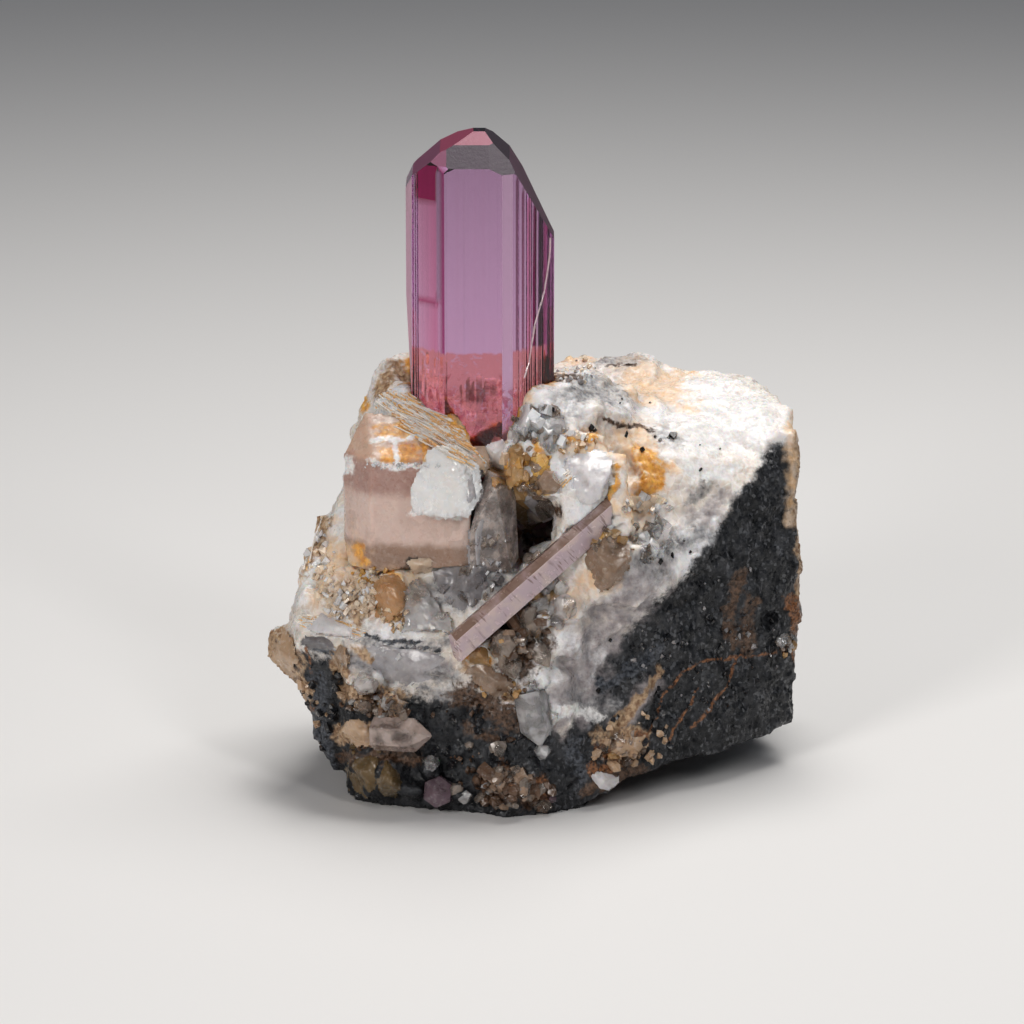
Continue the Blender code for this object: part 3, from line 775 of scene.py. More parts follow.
def block_finish():
    """The cream calcite: smooth banded cleavage faces, stained above, and darker brown at its foot, partly
    painted shade.
    """
    n = Nodes("cream_calcite")
    z = n.coordinate(n.shaken(2.2, 0.6), "Z")
    facets = n.cells(1.6, place=n.shaken(0.8, 0.35))
    # Darker brown below the lowest band: partly the block's own brown, partly painted shade where its foot
    # is in shadow.
    base = n.mix(n.stretch(z, 22.4, 23.2), (0.36, 0.24, 0.18), (0.68, 0.53, 0.47))
    base = n.mix(n.stretch(z, 26.6, 27.8), base, (0.45, 0.29, 0.25))
    base = n.mix(n.stretch(z, 29.6, 30.6), base, (0.62, 0.44, 0.34))
    base = n.mix(n.stretch(n.noise(0.4, 4), 0.45, 0.8, 0, 0.35), base, (0.76, 0.66, 0.60))
    base = n.mix(n.stretch(n.one_of(facets), 0.5, 1.0, 0, 0.25), base, (0.38, 0.29, 0.24))
    n.set("Base Color", stained(n, base))
    n.set("Roughness", n.stretch(n.noise(0.6, 4), 0.3, 0.7, 0.2, 0.42))
    n.set("IOR", CALCITE_IOR)
    n.glow(0.75, (1.0, 0.7, 0.55), 1.5)
    n.set("Normal", n.bump(n.noise(0.35, 4, 0.6), 0.03, 1.0, n.tilted(facets, 0.12)))
    return n.material


# The pink topaz

# How the front of the prism is grooved: the pixel columns between which grooves lie, how many, and how
# deep. The faces behind are grooved all over. A side that is too short, or too narrow to the eye, is not.
GROOVES = [
    (411.5, 421.0, 4, 0.05), (436.0, 440.5, 1, 0.06), (512.0, 516.0, 1, 0.03), (517.0, 545.0, 13, 0.07),
]
GROOVE_SEED = 4
BACK_GROOVE_STEP = 0.8
BACK_GROOVE_DEPTH = 0.05
SHORT_SIDE = 0.3
NARROW_SIDE = 2
# How far apart the mesh's rings are, which let the colour zones change along the crystal
RING_STEP = 0.6

# Stripes of colour that run along the crystal, and painted light at its foot: colour, half width, how soft
# the edge is, and the pixels that the zone runs through
ZONES = [
    ((1.0, 0.36, 0.46), 9, 3, [(428, 190), (430, 370)]),
    ((0.30, 0.0, 0.03), 13, 4, [(428, 172), (427, 192)]),
    ((0.45, 0.45, 0.45), 2, 1, [(438, 172), (438, 300)]),
    ((0.35, 0.02, 0.12), 2.5, 1, [(443, 168), (443, 420)]),
    ((1.0, 0.75, 0.85), 5, 1, [(507, 176), (507, 400)]),
    ((0.15, 0.03, 0.07), 1.2, 1, [(517, 180), (517, 420)]),
    ((0.22, 0.06, 0.10), 1.2, 1, [(523, 190), (523, 420)]),
    ((1.0, 0.45, 0.50), 2, 1, [(529, 200), (529, 400)]),
    ((0.10, 0.0, 0.02), 2, 1, [(535, 206), (534, 390)]),
    ((0.015, 0.008, 0.012), 2.5, 1, [(541, 212), (540, 380)]),
    ((0.30, 0.05, 0.12), 3.5, 1, [(547, 225), (546, 380)]),
    # Painted light at the foot: the orange of the rock seen through it, and a painted magenta highlight
    # below.
    ((0.62, 0.12, 0.10), 16, 8, [(430, 410), (478, 404), (530, 405)]),
    ((1.0, 0.30, 0.70), 8, 5, [(488, 428), (492, 432)]),
    ((0.50, 0.04, 0.12), 4, 2, [(422, 300), (435, 303)]),
]
# Strips of the front that are pale and a little etched: colour, frost, and the pixel columns between which
# they lie
STRIPS = [((0.78, 0.56, 0.62), 0.5, 396, 411.6), ((0.86, 0.68, 0.80), 0.3, 502.5, 512)]
# The faces that end the crystal: a pixel in each, its colour, and how frosted it is
FROSTED = [
    ((475, 158), (0.06, 0.045, 0.06), 0.85), ((508, 152), (0.035, 0.022, 0.032), 0.85),
    ((502, 162), (0.045, 0.03, 0.045), 0.85), ((448, 140), (0.34, 0.06, 0.12), 0.65),
    ((476, 134), (0.30, 0.05, 0.10), 0.75), ((446, 156), (0.32, 0.15, 0.20), 0.6),
    ((420, 165), (0.30, 0.09, 0.17), 0.55), ((540, 210), (0.10, 0.05, 0.07), 0.6),
]


# How nearly a face must point the way of a frosted one to be part of it
SAME_FACE = 0.999
# A face this upright, as the height of its normal, may carry a strip. A face that looks this far along the
# view or less is the clear front.
UPRIGHT = 0.2
CLEAR_FRONT = -0.3


def topaz_planes():
    """The crystal's faces that run along it, and those that end it."""
    prism, ends = [], []
    for place, normal in planes_of("topaz_crystal"):
        (prism if abs(normal.z) < 0.1 else ends).append((place, normal))
    return prism, ends


def outline(prism, height):
    """The prism's cross-section at a height, anticlockwise from above."""
    block = cut_block(prism, Vector((0, 0, height)), 20)
    cut = cut_through(block, (0, 0, height), (0, 0, 1))
    corners = [v.co.copy() for v in cut if isinstance(v, bmesh.types.BMVert)]
    block.free()
    return sorted(corners, key=lambda c: math.atan2(c.y, c.x))


def column(point):
    """The pixel column that a point in the crystal's front shows in."""
    return PICTURE / 2 + (point.x - TARGET.x) / PIXEL


def grooved(corners):
    """Adds shallow V grooves along the faces that have them."""
    rng = random.Random(GROOVE_SEED)
    path = []
    for a, b in zip(corners, corners[1:] + corners[:1]):
        path.append(a)
        side = b - a
        across = column(b) - column(a)
        if side.length < SHORT_SIDE or abs(across) < NARROW_SIDE:
            continue
        inward = Vector((-side.y, side.x, 0)).normalized()
        front = (a.y + b.y) / 2 < 0
        behind = (column(b), column(a), int(side.length / BACK_GROOVE_STEP), BACK_GROOVE_DEPTH)
        grooves = GROOVES if front else [behind]
        places = []
        for start, end, count, depth in grooves:
            step = (end - start) / max(1, count)
            for k in range(count):
                left = start + step * (k + rng.uniform(0.05, 0.3))
                right = start + step * (k + rng.uniform(0.7, 0.98))
                middle = left + (right - left) * rng.uniform(0.25, 0.75)
                places += [(left, 0.0), (middle, depth * rng.uniform(0.5, 1.2)), (right, 0.0)]
        marks = sorted(((c - column(a)) / across, d) for c, d in places)
        path += [a + side * t + inward * d for t, d in marks if 0.02 < t < 0.98]
    return path


def zone_tint(point):
    """The colour of the zones at a point of the crystal's front."""
    px, py, _ = (values[0] for values in to_picture(np.array([point[:]])))
    ragged = noise.noise(Vector((px * 0.35, py * 0.02, 0)))
    tint = Vector((1, 1, 1))
    for colour, half, soft, line in ZONES:
        away = distance_to_line(np.array([px]), np.array([py + ragged * 9]), line)[0]
        share = min(1.0, max(0.0, (half - away) / soft + 0.5))
        tint = tint.lerp(Vector(colour), share)
    return tint


def colour_topaz(mesh):
    """Gives each corner its zone's colour, each frosted face its own, and marks the clear front."""
    faces = [p.vertices[:] for p in mesh.polygons]
    surface = BVHTree.FromPolygons([v.co / MM for v in mesh.vertices], faces)
    normals = {}
    for pixel, colour, frost in FROSTED:
        hit = look(surface, *pixel)
        if hit[0] is not None:
            normals[tuple(hit[1])] = (hit[1], colour, frost)
    tints, frosts, fronts = [], [], []
    for face in mesh.polygons:
        ends = [v for v in normals.values() if v[0].dot(face.normal) > SAME_FACE]
        frosts.append(ends[0][2] if ends else 0.0)
        middle = face.center / MM
        across = to_picture(np.array([middle[:]]))[0][0]
        turn = face.normal.dot(FORWARD)
        facing = turn < 0 and abs(face.normal.z) < UPRIGHT
        strips = [strip for strip in STRIPS if facing and strip[2] < across < strip[3]]
        if strips:
            frosts[-1] = strips[0][1]
        fronts.append(0.0 if ends or strips or turn > CLEAR_FRONT else 1.0)
        for vertex in face.vertices:
            tint = Vector((1, 1, 1))
            if ends or strips:
                tint = Vector(ends[0][1] if ends else strips[0][0])
            elif turn < 0:
                tint = zone_tint((mesh.vertices[vertex].co / MM).lerp(middle, 0.2))
            tints += [*tint, 1.0]
    put(mesh, "tint", "FLOAT_COLOR", "CORNER", tints)
    put(mesh, "frost", "FLOAT", "FACE", frosts)
    put(mesh, "front", "FLOAT", "FACE", fronts)


def topaz(finish):
    """The crystal: its grooved outline drawn up, and cut by the faces that end it."""
    prism, ends = topaz_planes()
    low, high = box_of("topaz_crystal")
    body = bmesh.new()
    path = grooved(outline(prism, (low.z + high.z) / 2 + 2))
    floor = [body.verts.new((c.x, c.y, low.z - 1)) for c in path]
    face = body.faces.new(floor)
    lifted = bmesh.ops.extrude_face_region(body, geom=[face])
    rising = [v for v in lifted["geom"] if isinstance(v, bmesh.types.BMVert)]
    bmesh.ops.translate(body, vec=(0, 0, high.z - low.z + 2), verts=rising)
    bmesh.ops.recalc_face_normals(body, faces=body.faces)
    trim(body, ends + [(p, n) for p, n in prism if abs(n.z) > 0.005])
    for k in range(1, int((high.z - low.z) / RING_STEP)):
        cut_through(body, (0, 0, low.z + k * RING_STEP), (0, 0, 1))
    crystal = object_from("pink_topaz", body, finish)
    colour_topaz(crystal.data)
    return dress(crystal, "pink_topaz", "topaz_crystal")


def topaz_finish():
    """Clear pink crystal with stripes along it and etched end faces, and painted rock light and glints at
    its foot.
    """
    n = Nodes("pink_topaz")
    frost = n.attribute("frost")
    pits = n.noise(0.35, 5, 0.65)
    ragged = n.plus(n.coordinate(n.place, "Z"), n.noise(0.9, 4, 0.6))
    foot = n.stretch(ragged, *CRACKED_FOOT)
    # Painted light: the orange of the stained rock behind, as seen through the foot, is painted on the
    # front faces.
    low = n.times(n.stretch(ragged, *PAINTED_ROCK_GLOW), n.attribute("front"))
    tint = n.attribute("tint", "Color")
    tint = n.mix(n.times(low, 0.95), tint, (1.0, 0.36, 0.20))
    cracked = n.times(foot, n.stretch(n.noise(1.5, 4, 0.65, 1.2), 0.50, 0.62, 0, 0.8))
    tint = n.mix(cracked, tint, (0.50, 0.05, 0.07))
    # Bright fracture lines in the foot, with painted glints on them.
    bright = n.times(low, n.stretch(n.noise(0.8, 4, 0.7, 0.8), 0.56, 0.66, 0, 0.9))
    n.set("Base Color", n.mix(bright, tint, (1.0, 0.70, 0.58)))
    n.set("Roughness", n.plus(n.times(frost, 0.55), 0.015))
    n.set("IOR", TOPAZ_IOR)
    n.set("Transmission Weight", n.minus(1.0, frost))
    smooth = n.bump(n.noise(0.9, 3, 0.6), 0.004)
    etched = n.times(pits, n.stretch(frost, 0.5, 0.8))
    n.set("Normal", n.bump(etched, 0.03, 1.0, smooth))
    volume = n.add("ShaderNodeVolumeAbsorption")
    n.feed(volume.inputs["Color"], ABSORPTION_COLOUR)
    n.feed(volume.inputs["Density"], ABSORPTION_DENSITY)
    n.feed(n.output.inputs["Volume"], volume.outputs[0])
    return n.material


def pale_finish(axis):
    """The slanting crystal: cloudy lilac, with short marks across it."""
    n = Nodes("pale_topaz")
    along = n.vector("DOT_PRODUCT", n.place, axis)
    across = n.vector("ADD", n.place, n.vector("SCALE", axis, n.times(along, 9.0)))
    lines = n.stretch(n.noise(2.2, 2, 0.5, 0, across), 0.56, 0.62)
    marks = n.times(lines, n.stretch(n.noise(1.5, 2), 0.4, 0.6))
    colour = n.mix(n.stretch(n.noise(1.6, 3), 0.4, 0.65), (0.62, 0.50, 0.54), (0.72, 0.59, 0.56))
    upward = n.stretch(n.part(n.normal(), "Z"), 0.45, 0.6)
    shaded = n.times(upward, n.stretch(n.noise(2.5, 3), 0.35, 0.6, 0.5, 1.0))
    colour = n.mix(shaded, colour, (0.28, 0.19, 0.15))
    n.set("Base Color", n.mix(n.times(marks, 0.7), colour, (0.22, 0.13, 0.11)))
    n.set("Roughness", n.stretch(n.noise(0.5, 3), 0.3, 0.7, 0.1, 0.3))
    n.set("IOR", TOPAZ_IOR)
    n.glow(0.5, (1.0, 0.75, 0.8), 1.0)
    n.set("Transmission Weight", 0.12)
    n.set("Normal", n.bump(n.minus(1.0, marks), 0.004))
    return n.material


def long_axis(node):
    """The direction from one end of a long crystal to the other."""
    points = [v.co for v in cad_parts[node].data.vertices]
    ends = max(((a, b) for a in points for b in points), key=lambda pair: (pair[0] - pair[1]).length)
    return (ends[0] - ends[1]).normalized()


# The other crystals

def plain_crystal(name, node, slot, finish, swell=0.0):
    """A crystal with the node's own faces, a little further out by swell."""
    low, high = box_of(node)
    planes = [(place + normal * swell, normal) for place, normal in planes_of(node)]
    body = cut_block(planes, (low + high) / 2, (high - low).length)
    return dress(object_from(name, body, finish), slot, node)


def painted_crystal(name, node, slot, finish, voxel, roughness):
    """A crystal whose faces are worn and stained, as a fine mesh of the node."""
    thing, points, normals = fine_mesh(name, node, voxel)
    found = amounts_of(points)
    rough = roughness * (1 + 6 * found["rubble"] + 3 * found["white"])
    shifted = [p + n * chipped(p) * r for p, n, r in zip(points, normals, rough)]
    finish_mesh(thing, shifted, found, finish)
    return dress(thing, slot, node)


# How far a quartz crystal's end faces lean from its prism faces
QUARTZ_POINT_ANGLE = math.radians(38)


def quartz_block(rng, centre, radius, length, tip):
    """A short hexagonal prism with a six-faced point, a little uneven."""
    side = tip.orthogonal().normalized()
    turn = rng.uniform(0, math.tau)
    planes = [(centre - tip * length / 2, -tip)]
    for k in range(6):
        out = Matrix.Rotation(math.tau * k / 6 + turn, 3, tip) @ side
        planes.append((centre + out * radius * rng.uniform(0.75, 1.05), out))
        point_face = out * math.cos(QUARTZ_POINT_ANGLE) + tip * math.sin(QUARTZ_POINT_ANGLE)
        setback = rng.uniform(0, 0.45) * radius
        planes.append((centre + tip * (length / 2 - setback), point_face))
    return cut_block(planes, centre, 2 * length)


def calcite_block(rng, centre, radius, length, tip):
    """A cleaved piece: a skewed box with one or two broken corners."""
    side = tip.orthogonal().normalized()
    across = tip.cross(side)
    skew = rng.uniform(0.1, 0.35)
    axes = [tip, (side + tip * skew).normalized(), (across - side * skew).normalized()]
    planes = []
    for axis, half in zip(axes, (length / 2, radius, radius * rng.uniform(0.5, 1.0))):
        planes += [(centre + axis * half, axis), (centre - axis * half, -axis)]
    for _ in range(rng.randint(1, 3)):
        corner = Vector([rng.uniform(-1, 1) for _ in range(3)]).normalized()
        planes.append((centre + corner * radius * rng.uniform(0.6, 0.9), corner))
    return cut_block(planes, centre, 2 * length)


# The tints of the small pieces, and how clear each is
TINTS = {
    "clear": ((0.90, 0.88, 0.88), 0.85), "milk": ((0.86, 0.84, 0.84), 0.15),
    "honey": ((0.66, 0.42, 0.20), 0.5), "amber": ((0.86, 0.50, 0.16), 0.4),
    "brown": ((0.22, 0.135, 0.09), 0.5), "lilac": ((0.32, 0.23, 0.27), 0.6),
    "peach": ((0.84, 0.66, 0.50), 0.15), "tan": ((0.48, 0.34, 0.23), 0.0),
    "smoke": ((0.46, 0.44, 0.45), 0.5), "coal": ((0.022, 0.023, 0.027), 0.0),
    "glass": ((0.60, 0.51, 0.44), 0.9), "olive": ((0.26, 0.18, 0.09), 0.45),
    "haze": ((0.46, 0.44, 0.45), 0.3), "umber": ((0.46, 0.33, 0.24), 0.45),
    "silk": ((0.94, 0.91, 0.92), 0.3), "rose": ((0.80, 0.67, 0.61), 0.9),
    "apricot": ((0.76, 0.45, 0.23), 0.4),
}
# The range by which a small piece is darker or lighter than its tint, and the lightest that it may be
TONES = (0.75, 1.2)
LIGHTEST = 0.95

# The quartz crystals that are nodes of their own, and their tints
QUARTZ_CRYSTALS = {"quartz_crystal_large": "rose", "quartz_crystal_lilac": "lilac", "quartz_shard": "clear"}


def join(target, block, tint, clear):
    """Adds a closed block to the target, with its tint and clearness, and frees it."""
    tints = target.verts.layers.float_color.get("tint") or target.verts.layers.float_color.new("tint")
    clears = target.verts.layers.float.get("clear") or target.verts.layers.float.new("clear")
    made = {}
    for vert in block.verts:
        copy = target.verts.new(vert.co)
        copy[tints] = (*tint, 1)
        copy[clears] = clear
        made[vert] = copy
    for face in block.faces:
        target.faces.new([made[v] for v in face.verts])
    block.free()


def tint_all(thing, tint, clear):
    """Gives every point of an object the same tint and clearness."""
    count = len(thing.data.vertices)
    put(thing.data, "tint", "FLOAT_COLOR", "POINT", [*tint, 1] * count)
    put(thing.data, "clear", "FLOAT", "POINT", [clear] * count)


def varied(rng, name):
    """A tint, a little lighter or darker each time, and its clearness."""
    tint, clear = TINTS[name]
    tone = rng.uniform(*TONES)
    return tuple(min(LIGHTEST, c * tone) for c in tint), clear


# Crusts of small crystals: slot, kind of crystal, seed, how slim they are, and patches. Each patch is the
# middle and half widths of an ellipse in the picture, how many crystals it has, their smallest and largest
# radius, and their tints.
CRUSTS = {
    "quartz_crust": ("quartz", quartz_block, 11, 1.9, [
        (372, 702, 20, 12, 26, 0.16, 0.42, "clear brown tan glass"),
        (392, 712, 14, 8, 14, 0.15, 0.4, "glass brown"), (348, 700, 12, 10, 10, 0.15, 0.35, "tan brown"),
        (505, 788, 30, 20, 80, 0.2, 0.6, "brown brown glass umber"),
        (536, 796, 16, 14, 18, 0.3, 0.65, "lilac brown glass"),
        (372, 748, 26, 6, 10, 0.2, 0.4, "brown olive"),
        (520, 636, 32, 30, 50, 0.2, 0.6, "glass brown brown umber"),
        (545, 600, 24, 26, 26, 0.3, 0.9, "glass umber clear"),
        (500, 690, 26, 14, 18, 0.15, 0.45, "brown honey"),
        (618, 752, 26, 16, 26, 0.2, 0.5, "tan glass honey"),
        (786, 644, 8, 13, 14, 0.2, 0.5, "clear glass honey"),
        (530, 470, 20, 20, 20, 0.2, 0.6, "glass amber honey"),
        (445, 788, 20, 8, 8, 0.15, 0.4, "brown smoke"),
        (535, 540, 10, 26, 16, 0.3, 0.6, "glass smoke honey"),
    ]),
    "quartz_shards": ("quartz", quartz_block, 47, 5.0, [
        (516, 636, 28, 26, 70, 0.1, 0.26, "clear glass glass honey"),
        (542, 606, 14, 18, 24, 0.1, 0.26, "clear glass"),
        (530, 694, 14, 14, 16, 0.1, 0.24, "clear glass"),
        (532, 482, 16, 14, 24, 0.1, 0.26, "glass honey"),
        (372, 700, 22, 14, 24, 0.08, 0.2, "clear glass brown"),
        (505, 786, 28, 18, 30, 0.08, 0.2, "glass brown clear"),
        (618, 748, 24, 16, 20, 0.08, 0.2, "glass tan"),
    ]),
    "calcite_grit": ("clear_calcite", calcite_block, 23, 1.5, [
        (352, 600, 26, 20, 150, 0.1, 0.34, "peach milk peach"),
        (393, 616, 14, 14, 40, 0.1, 0.3, "peach honey"), (372, 575, 22, 8, 30, 0.1, 0.3, "peach amber"),
        (400, 466, 40, 3, 50, 0.06, 0.14, "milk"), (470, 585, 44, 16, 34, 0.12, 0.4, "smoke smoke glass"),
        (540, 430, 30, 22, 40, 0.2, 0.6, "clear milk glass"),
        (500, 440, 10, 26, 30, 0.15, 0.4, "milk peach clear"),
        (570, 440, 26, 12, 40, 0.1, 0.3, "peach honey milk"),
        (645, 505, 26, 8, 40, 0.12, 0.4, "milk peach clear"),
        (650, 540, 18, 22, 30, 0.2, 0.55, "clear glass"), (488, 545, 20, 10, 14, 0.1, 0.3, "smoke glass"),
        (322, 560, 14, 44, 50, 0.1, 0.35, "milk peach peach"),
        (600, 545, 22, 16, 24, 0.2, 0.5, "honey glass"),
        (575, 372, 26, 12, 26, 0.1, 0.25, "milk smoke peach"),
        (500, 570, 30, 10, 24, 0.08, 0.22, "milk smoke"), (404, 650, 30, 8, 14, 0.1, 0.3, "milk smoke"),
    ]),
    "limestone_grit": ("matrix", calcite_block, 31, 1.4, [
        (700, 630, 90, 80, 120, 0.08, 0.24, "coal coal coal smoke"),
        (470, 735, 60, 36, 60, 0.08, 0.3, "coal coal brown"),
        (320, 700, 22, 60, 50, 0.1, 0.4, "coal coal tan"), (640, 735, 40, 26, 24, 0.1, 0.3, "coal tan"),
    ]),
}


def crust(name, ground, finish, slot, block, seed, slim, patches):
    """Crystals scattered over patches of the ground, each sunk in nearly to its middle."""
    rng = random.Random(seed)
    body = bmesh.new()
    for px, py, wide, high, count, least, most, names in patches:
        for _ in range(count):
            angle, reach = rng.uniform(0, math.tau), math.sqrt(rng.random())
            x, y = px + wide * reach * math.cos(angle), py + high * reach * math.sin(angle)
            place, normal, _, _ = look(ground, x, y)
            radius = least + (most - least) * rng.random() ** 2
            lean = Vector([rng.uniform(-1, 1) for _ in range(3)])
            length = radius * slim * rng.uniform(1.2, 2.0)
            tint, clear = varied(rng, rng.choice(names.split()))
            if place is None:
                continue
            if slot == "matrix" and place.z > np.interp(place.x, *zip(*CONTACT)) - 1:
                continue
            tip = (normal + lean * 0.9).normalized()
            join(body, block(rng, place + normal * length * 0.12, radius, length, tip), tint, clear)
    return dress(object_from(name, body, finish), slot)


# Larger quartz crystals: where the middle shows, radius, length, the way the tip points, and tint
STANDING = [
    (370, 681, 1.0, 2.3, (0.2, -0.9, 0.5), "clear"), (363, 706, 0.6, 1.8, (-0.5, -0.8, 0.2), "glass"),
    (391, 702, 0.58, 1.5, (0.5, -0.8, 0.4), "clear"), (381, 713, 0.45, 1.3, (0.1, -0.9, 0.4), "clear"),
    (400, 709, 0.45, 1.5, (0.8, -0.7, 0.0), "glass"), (431, 764, 0.75, 1.9, (0.2, -0.9, 0.3), "clear"),
    (457, 789, 0.55, 1.5, (0.3, -0.7, 0.6), "glass"), (466, 796, 0.55, 1.4, (0.7, -0.5, 0.4), "clear"),
    (500, 753, 0.75, 1.6, (0.3, -0.6, -0.8), "glass"), (543, 752, 0.7, 1.9, (0.3, -0.9, -0.2), "clear"),
    (508, 648, 1.0, 2.6, (0.2, -0.8, -0.5), "glass"), (568, 607, 1.1, 3.4, (0.5, -0.6, 0.5), "clear"),
    (535, 716, 1.1, 3.6, (0.25, -0.5, -0.85), "clear"), (546, 727, 0.8, 2.2, (0.9, -0.4, -0.3), "clear"),
    (500, 783, 0.5, 1.2, (0.1, -0.9, 0.2), "clear"), (470, 745, 0.4, 1.0, (0.4, -0.9, -0.2), "glass"),
    (530, 560, 0.6, 2.0, (0.1, -0.9, 0.2), "glass"), (542, 512, 1.3, 2.4, (0.3, -0.8, 0.5), "glass"),
    (527, 493, 0.7, 1.8, (-0.3, -0.9, 0.3), "honey"), (556, 425, 1.2, 2.6, (0.3, -0.8, 0.5), "clear"),
    (484, 768, 0.4, 1.0, (-0.3, -0.9, 0.3), "glass"), (519, 490, 1.0, 4.4, (-0.25, -0.8, 0.6), "honey"),
    (534, 497, 0.9, 5.0, (-0.5, -0.6, 0.7), "smoke"), (541, 506, 1.3, 7.0, (0.55, -0.75, 0.45), "glass"),
    (518, 503, 1.1, 6.5, (-0.4, -0.75, 0.6), "olive"), (547, 484, 1.0, 4.2, (0.3, -0.8, 0.5), "umber"),
    (545, 520, 1.0, 3.4, (0.4, -0.8, 0.3), "glass"), (538, 526, 1.1, 9.0, (0.45, -0.85, 0.2), "glass"),
    (512, 668, 1.0, 2.8, (0.3, -0.6, -0.7), "glass"), (534, 626, 0.8, 3.0, (0.7, -0.5, 0.4), "glass"),
    (540, 655, 0.8, 3.2, (0.5, -0.5, -0.7), "glass"),
]
STANDING_SEED = 5


def standing(ground, finish):
    """The larger quartz crystals, each let in to the ground."""
    rng = random.Random(STANDING_SEED)
    body = bmesh.new()
    for px, py, radius, length, tip, tint in STANDING:
        place, normal, _, _ = look(ground, px, py)
        centre = place + normal * radius * 0.25
        join(body, quartz_block(rng, centre, radius, length, Vector(tip).normalized()), *TINTS[tint])
    return dress(object_from("quartz_points", body, finish), "quartz")


# Lumps that swell out of the rock: tint, how far they stand out, how steep their edge is, how much they are
# chipped, and their outline in the picture.
CLEAR_LUMPS = [
    ("clear", 0.9, 0.35, 0.7, [(393, 600), (402, 590), (418, 577), (428, 588), (440, 604), (452, 618),
        (455, 634), (430, 633), (400, 632), (392, 618)]),
    ("smoke", 0.8, 0.5, 0.8, [(426, 572), (452, 562), (488, 566), (500, 582), (486, 600), (462, 612),
        (440, 600)]),
    ("silk", 1.2, 0.8, 0.5, [(302, 622), (316, 610), (334, 616), (352, 626), (364, 636), (340, 638),
        (312, 634)]),
    ("clear", 1.0, 0.6, 0.6, [(528, 430), (534, 412), (550, 405), (566, 414), (568, 436), (556, 452),
        (538, 450)]),
    ("milk", 0.9, 0.7, 0.5, [(505, 424), (514, 408), (530, 402), (534, 418), (526, 440), (510, 444)]),
    ("clear", 0.8, 0.6, 0.5, [(634, 548), (636, 530), (648, 522), (662, 530), (664, 548), (652, 562),
        (640, 560)]),
    ("silk", 0.9, 0.3, 0.9, [(556, 474), (572, 452), (598, 450), (614, 452), (612, 474), (602, 500),
        (588, 508), (566, 498), (556, 486)]),
    ("silk", 0.9, 0.5, 0.9, [(587, 776), (600, 766), (618, 772), (623, 786), (608, 797), (592, 793)]),
    ("smoke", 0.6, 0.6, 0.6, [(300, 640), (306, 632), (326, 634), (346, 644), (336, 654), (312, 654)]),
    ("clear", 0.8, 0.4, 0.7, [(522, 694), (534, 690), (548, 700), (559, 718), (552, 734), (538, 743),
        (528, 728)]),
    ("haze", 0.5, 0.8, 0.3, [(346, 648), (380, 644), (420, 648), (455, 660), (450, 684), (420, 690),
        (380, 680), (352, 672)]),
]
STAINED_LUMPS = [
    ("apricot", 1.0, 0.6, 0.5, [(367, 600), (370, 584), (384, 573), (402, 576), (409, 592), (404, 612),
        (390, 623), (374, 616)]),
    ("olive", 1.0, 0.7, 0.3, [(342, 772), (350, 756), (368, 750), (380, 762), (382, 784), (368, 798),
        (350, 792)]),
    ("olive", 1.0, 0.7, 0.3, [(378, 766), (388, 754), (402, 758), (406, 776), (400, 796), (384, 800),
        (376, 784)]),
    ("tan", 0.9, 0.5, 0.6, [(338, 734), (346, 720), (362, 716), (382, 722), (384, 740), (368, 748),
        (344, 746)]),
    ("tan", 0.8, 0.5, 0.5, [(330, 656), (334, 642), (346, 644), (350, 660), (346, 674), (334, 672)]),
    ("tan", 0.7, 0.3, 0.6, [(266, 632), (280, 626), (294, 636), (300, 660), (294, 684), (282, 690),
        (270, 660)]),
    ("umber", 0.9, 0.8, 0.5, [(574, 560), (584, 540), (606, 530), (628, 536), (634, 556), (624, 580),
        (600, 594), (580, 588)]),
    ("amber", 0.9, 0.5, 0.4, [(583, 534), (590, 522), (604, 518), (613, 528), (608, 542), (592, 546)]),
    ("honey", 0.8, 0.5, 0.4, [(466, 656), (474, 640), (490, 638), (497, 652), (490, 668), (474, 674)]),
    ("honey", 0.9, 0.6, 0.5, [(498, 470), (502, 452), (516, 446), (526, 458), (524, 480), (510, 492)]),
    ("amber", 0.8, 0.6, 0.5, [(524, 470), (530, 454), (546, 452), (554, 468), (548, 486), (532, 490)]),
    ("brown", 0.7, 0.5, 0.6, [(484, 620), (498, 606), (520, 600), (530, 616), (520, 634), (498, 640)]),
    ("honey", 0.7, 0.5, 0.6, [(524, 596), (540, 584), (560, 586), (570, 606), (556, 628), (536, 626)]),
    ("peach", 0.6, 0.5, 0.5, [(622, 500), (634, 494), (650, 498), (662, 488), (668, 500), (652, 512),
        (634, 512)]),
    ("tan", 0.6, 0.6, 0.6, [(606, 740), (622, 728), (644, 732), (650, 746), (630, 760), (610, 760)]),
    ("peach", 0.6, 0.5, 0.5, [(404, 560), (420, 554), (436, 560), (432, 574), (412, 576)]),
    ("umber", 0.7, 0.5, 0.7, [(460, 664), (480, 660), (500, 672), (524, 690), (520, 708), (498, 700),
        (478, 688)]),
]
# Lumps that cover the foot of the pink crystal
FOOT_LUMPS = [
    ("peach", 0.8, 0.5, 0.6, [(466, 452), (474, 444), (486, 446), (492, 458), (488, 474), (472, 474)]),
    ("milk", 0.9, 0.5, 0.6, [(482, 450), (490, 440), (500, 436), (510, 446), (508, 466), (494, 474),
        (484, 466)]),
    ("honey", 0.7, 0.5, 0.6, [(484, 468), (496, 462), (508, 470), (506, 486), (492, 488)]),
    ("haze", 0.35, 0.8, 0.3, [(466, 480), (476, 468), (486, 480), (485, 566), (468, 566), (466, 520)]),
]
# How far apart a lump's points are in the picture, how wide the waves of its edge are, how far the edge
# wavers, and how far round the outline its points are looked for
LUMP_STEP = 1.5
LUMP_WAVE = 7
LUMP_WAVER = 5
LUMP_MARGIN = 4
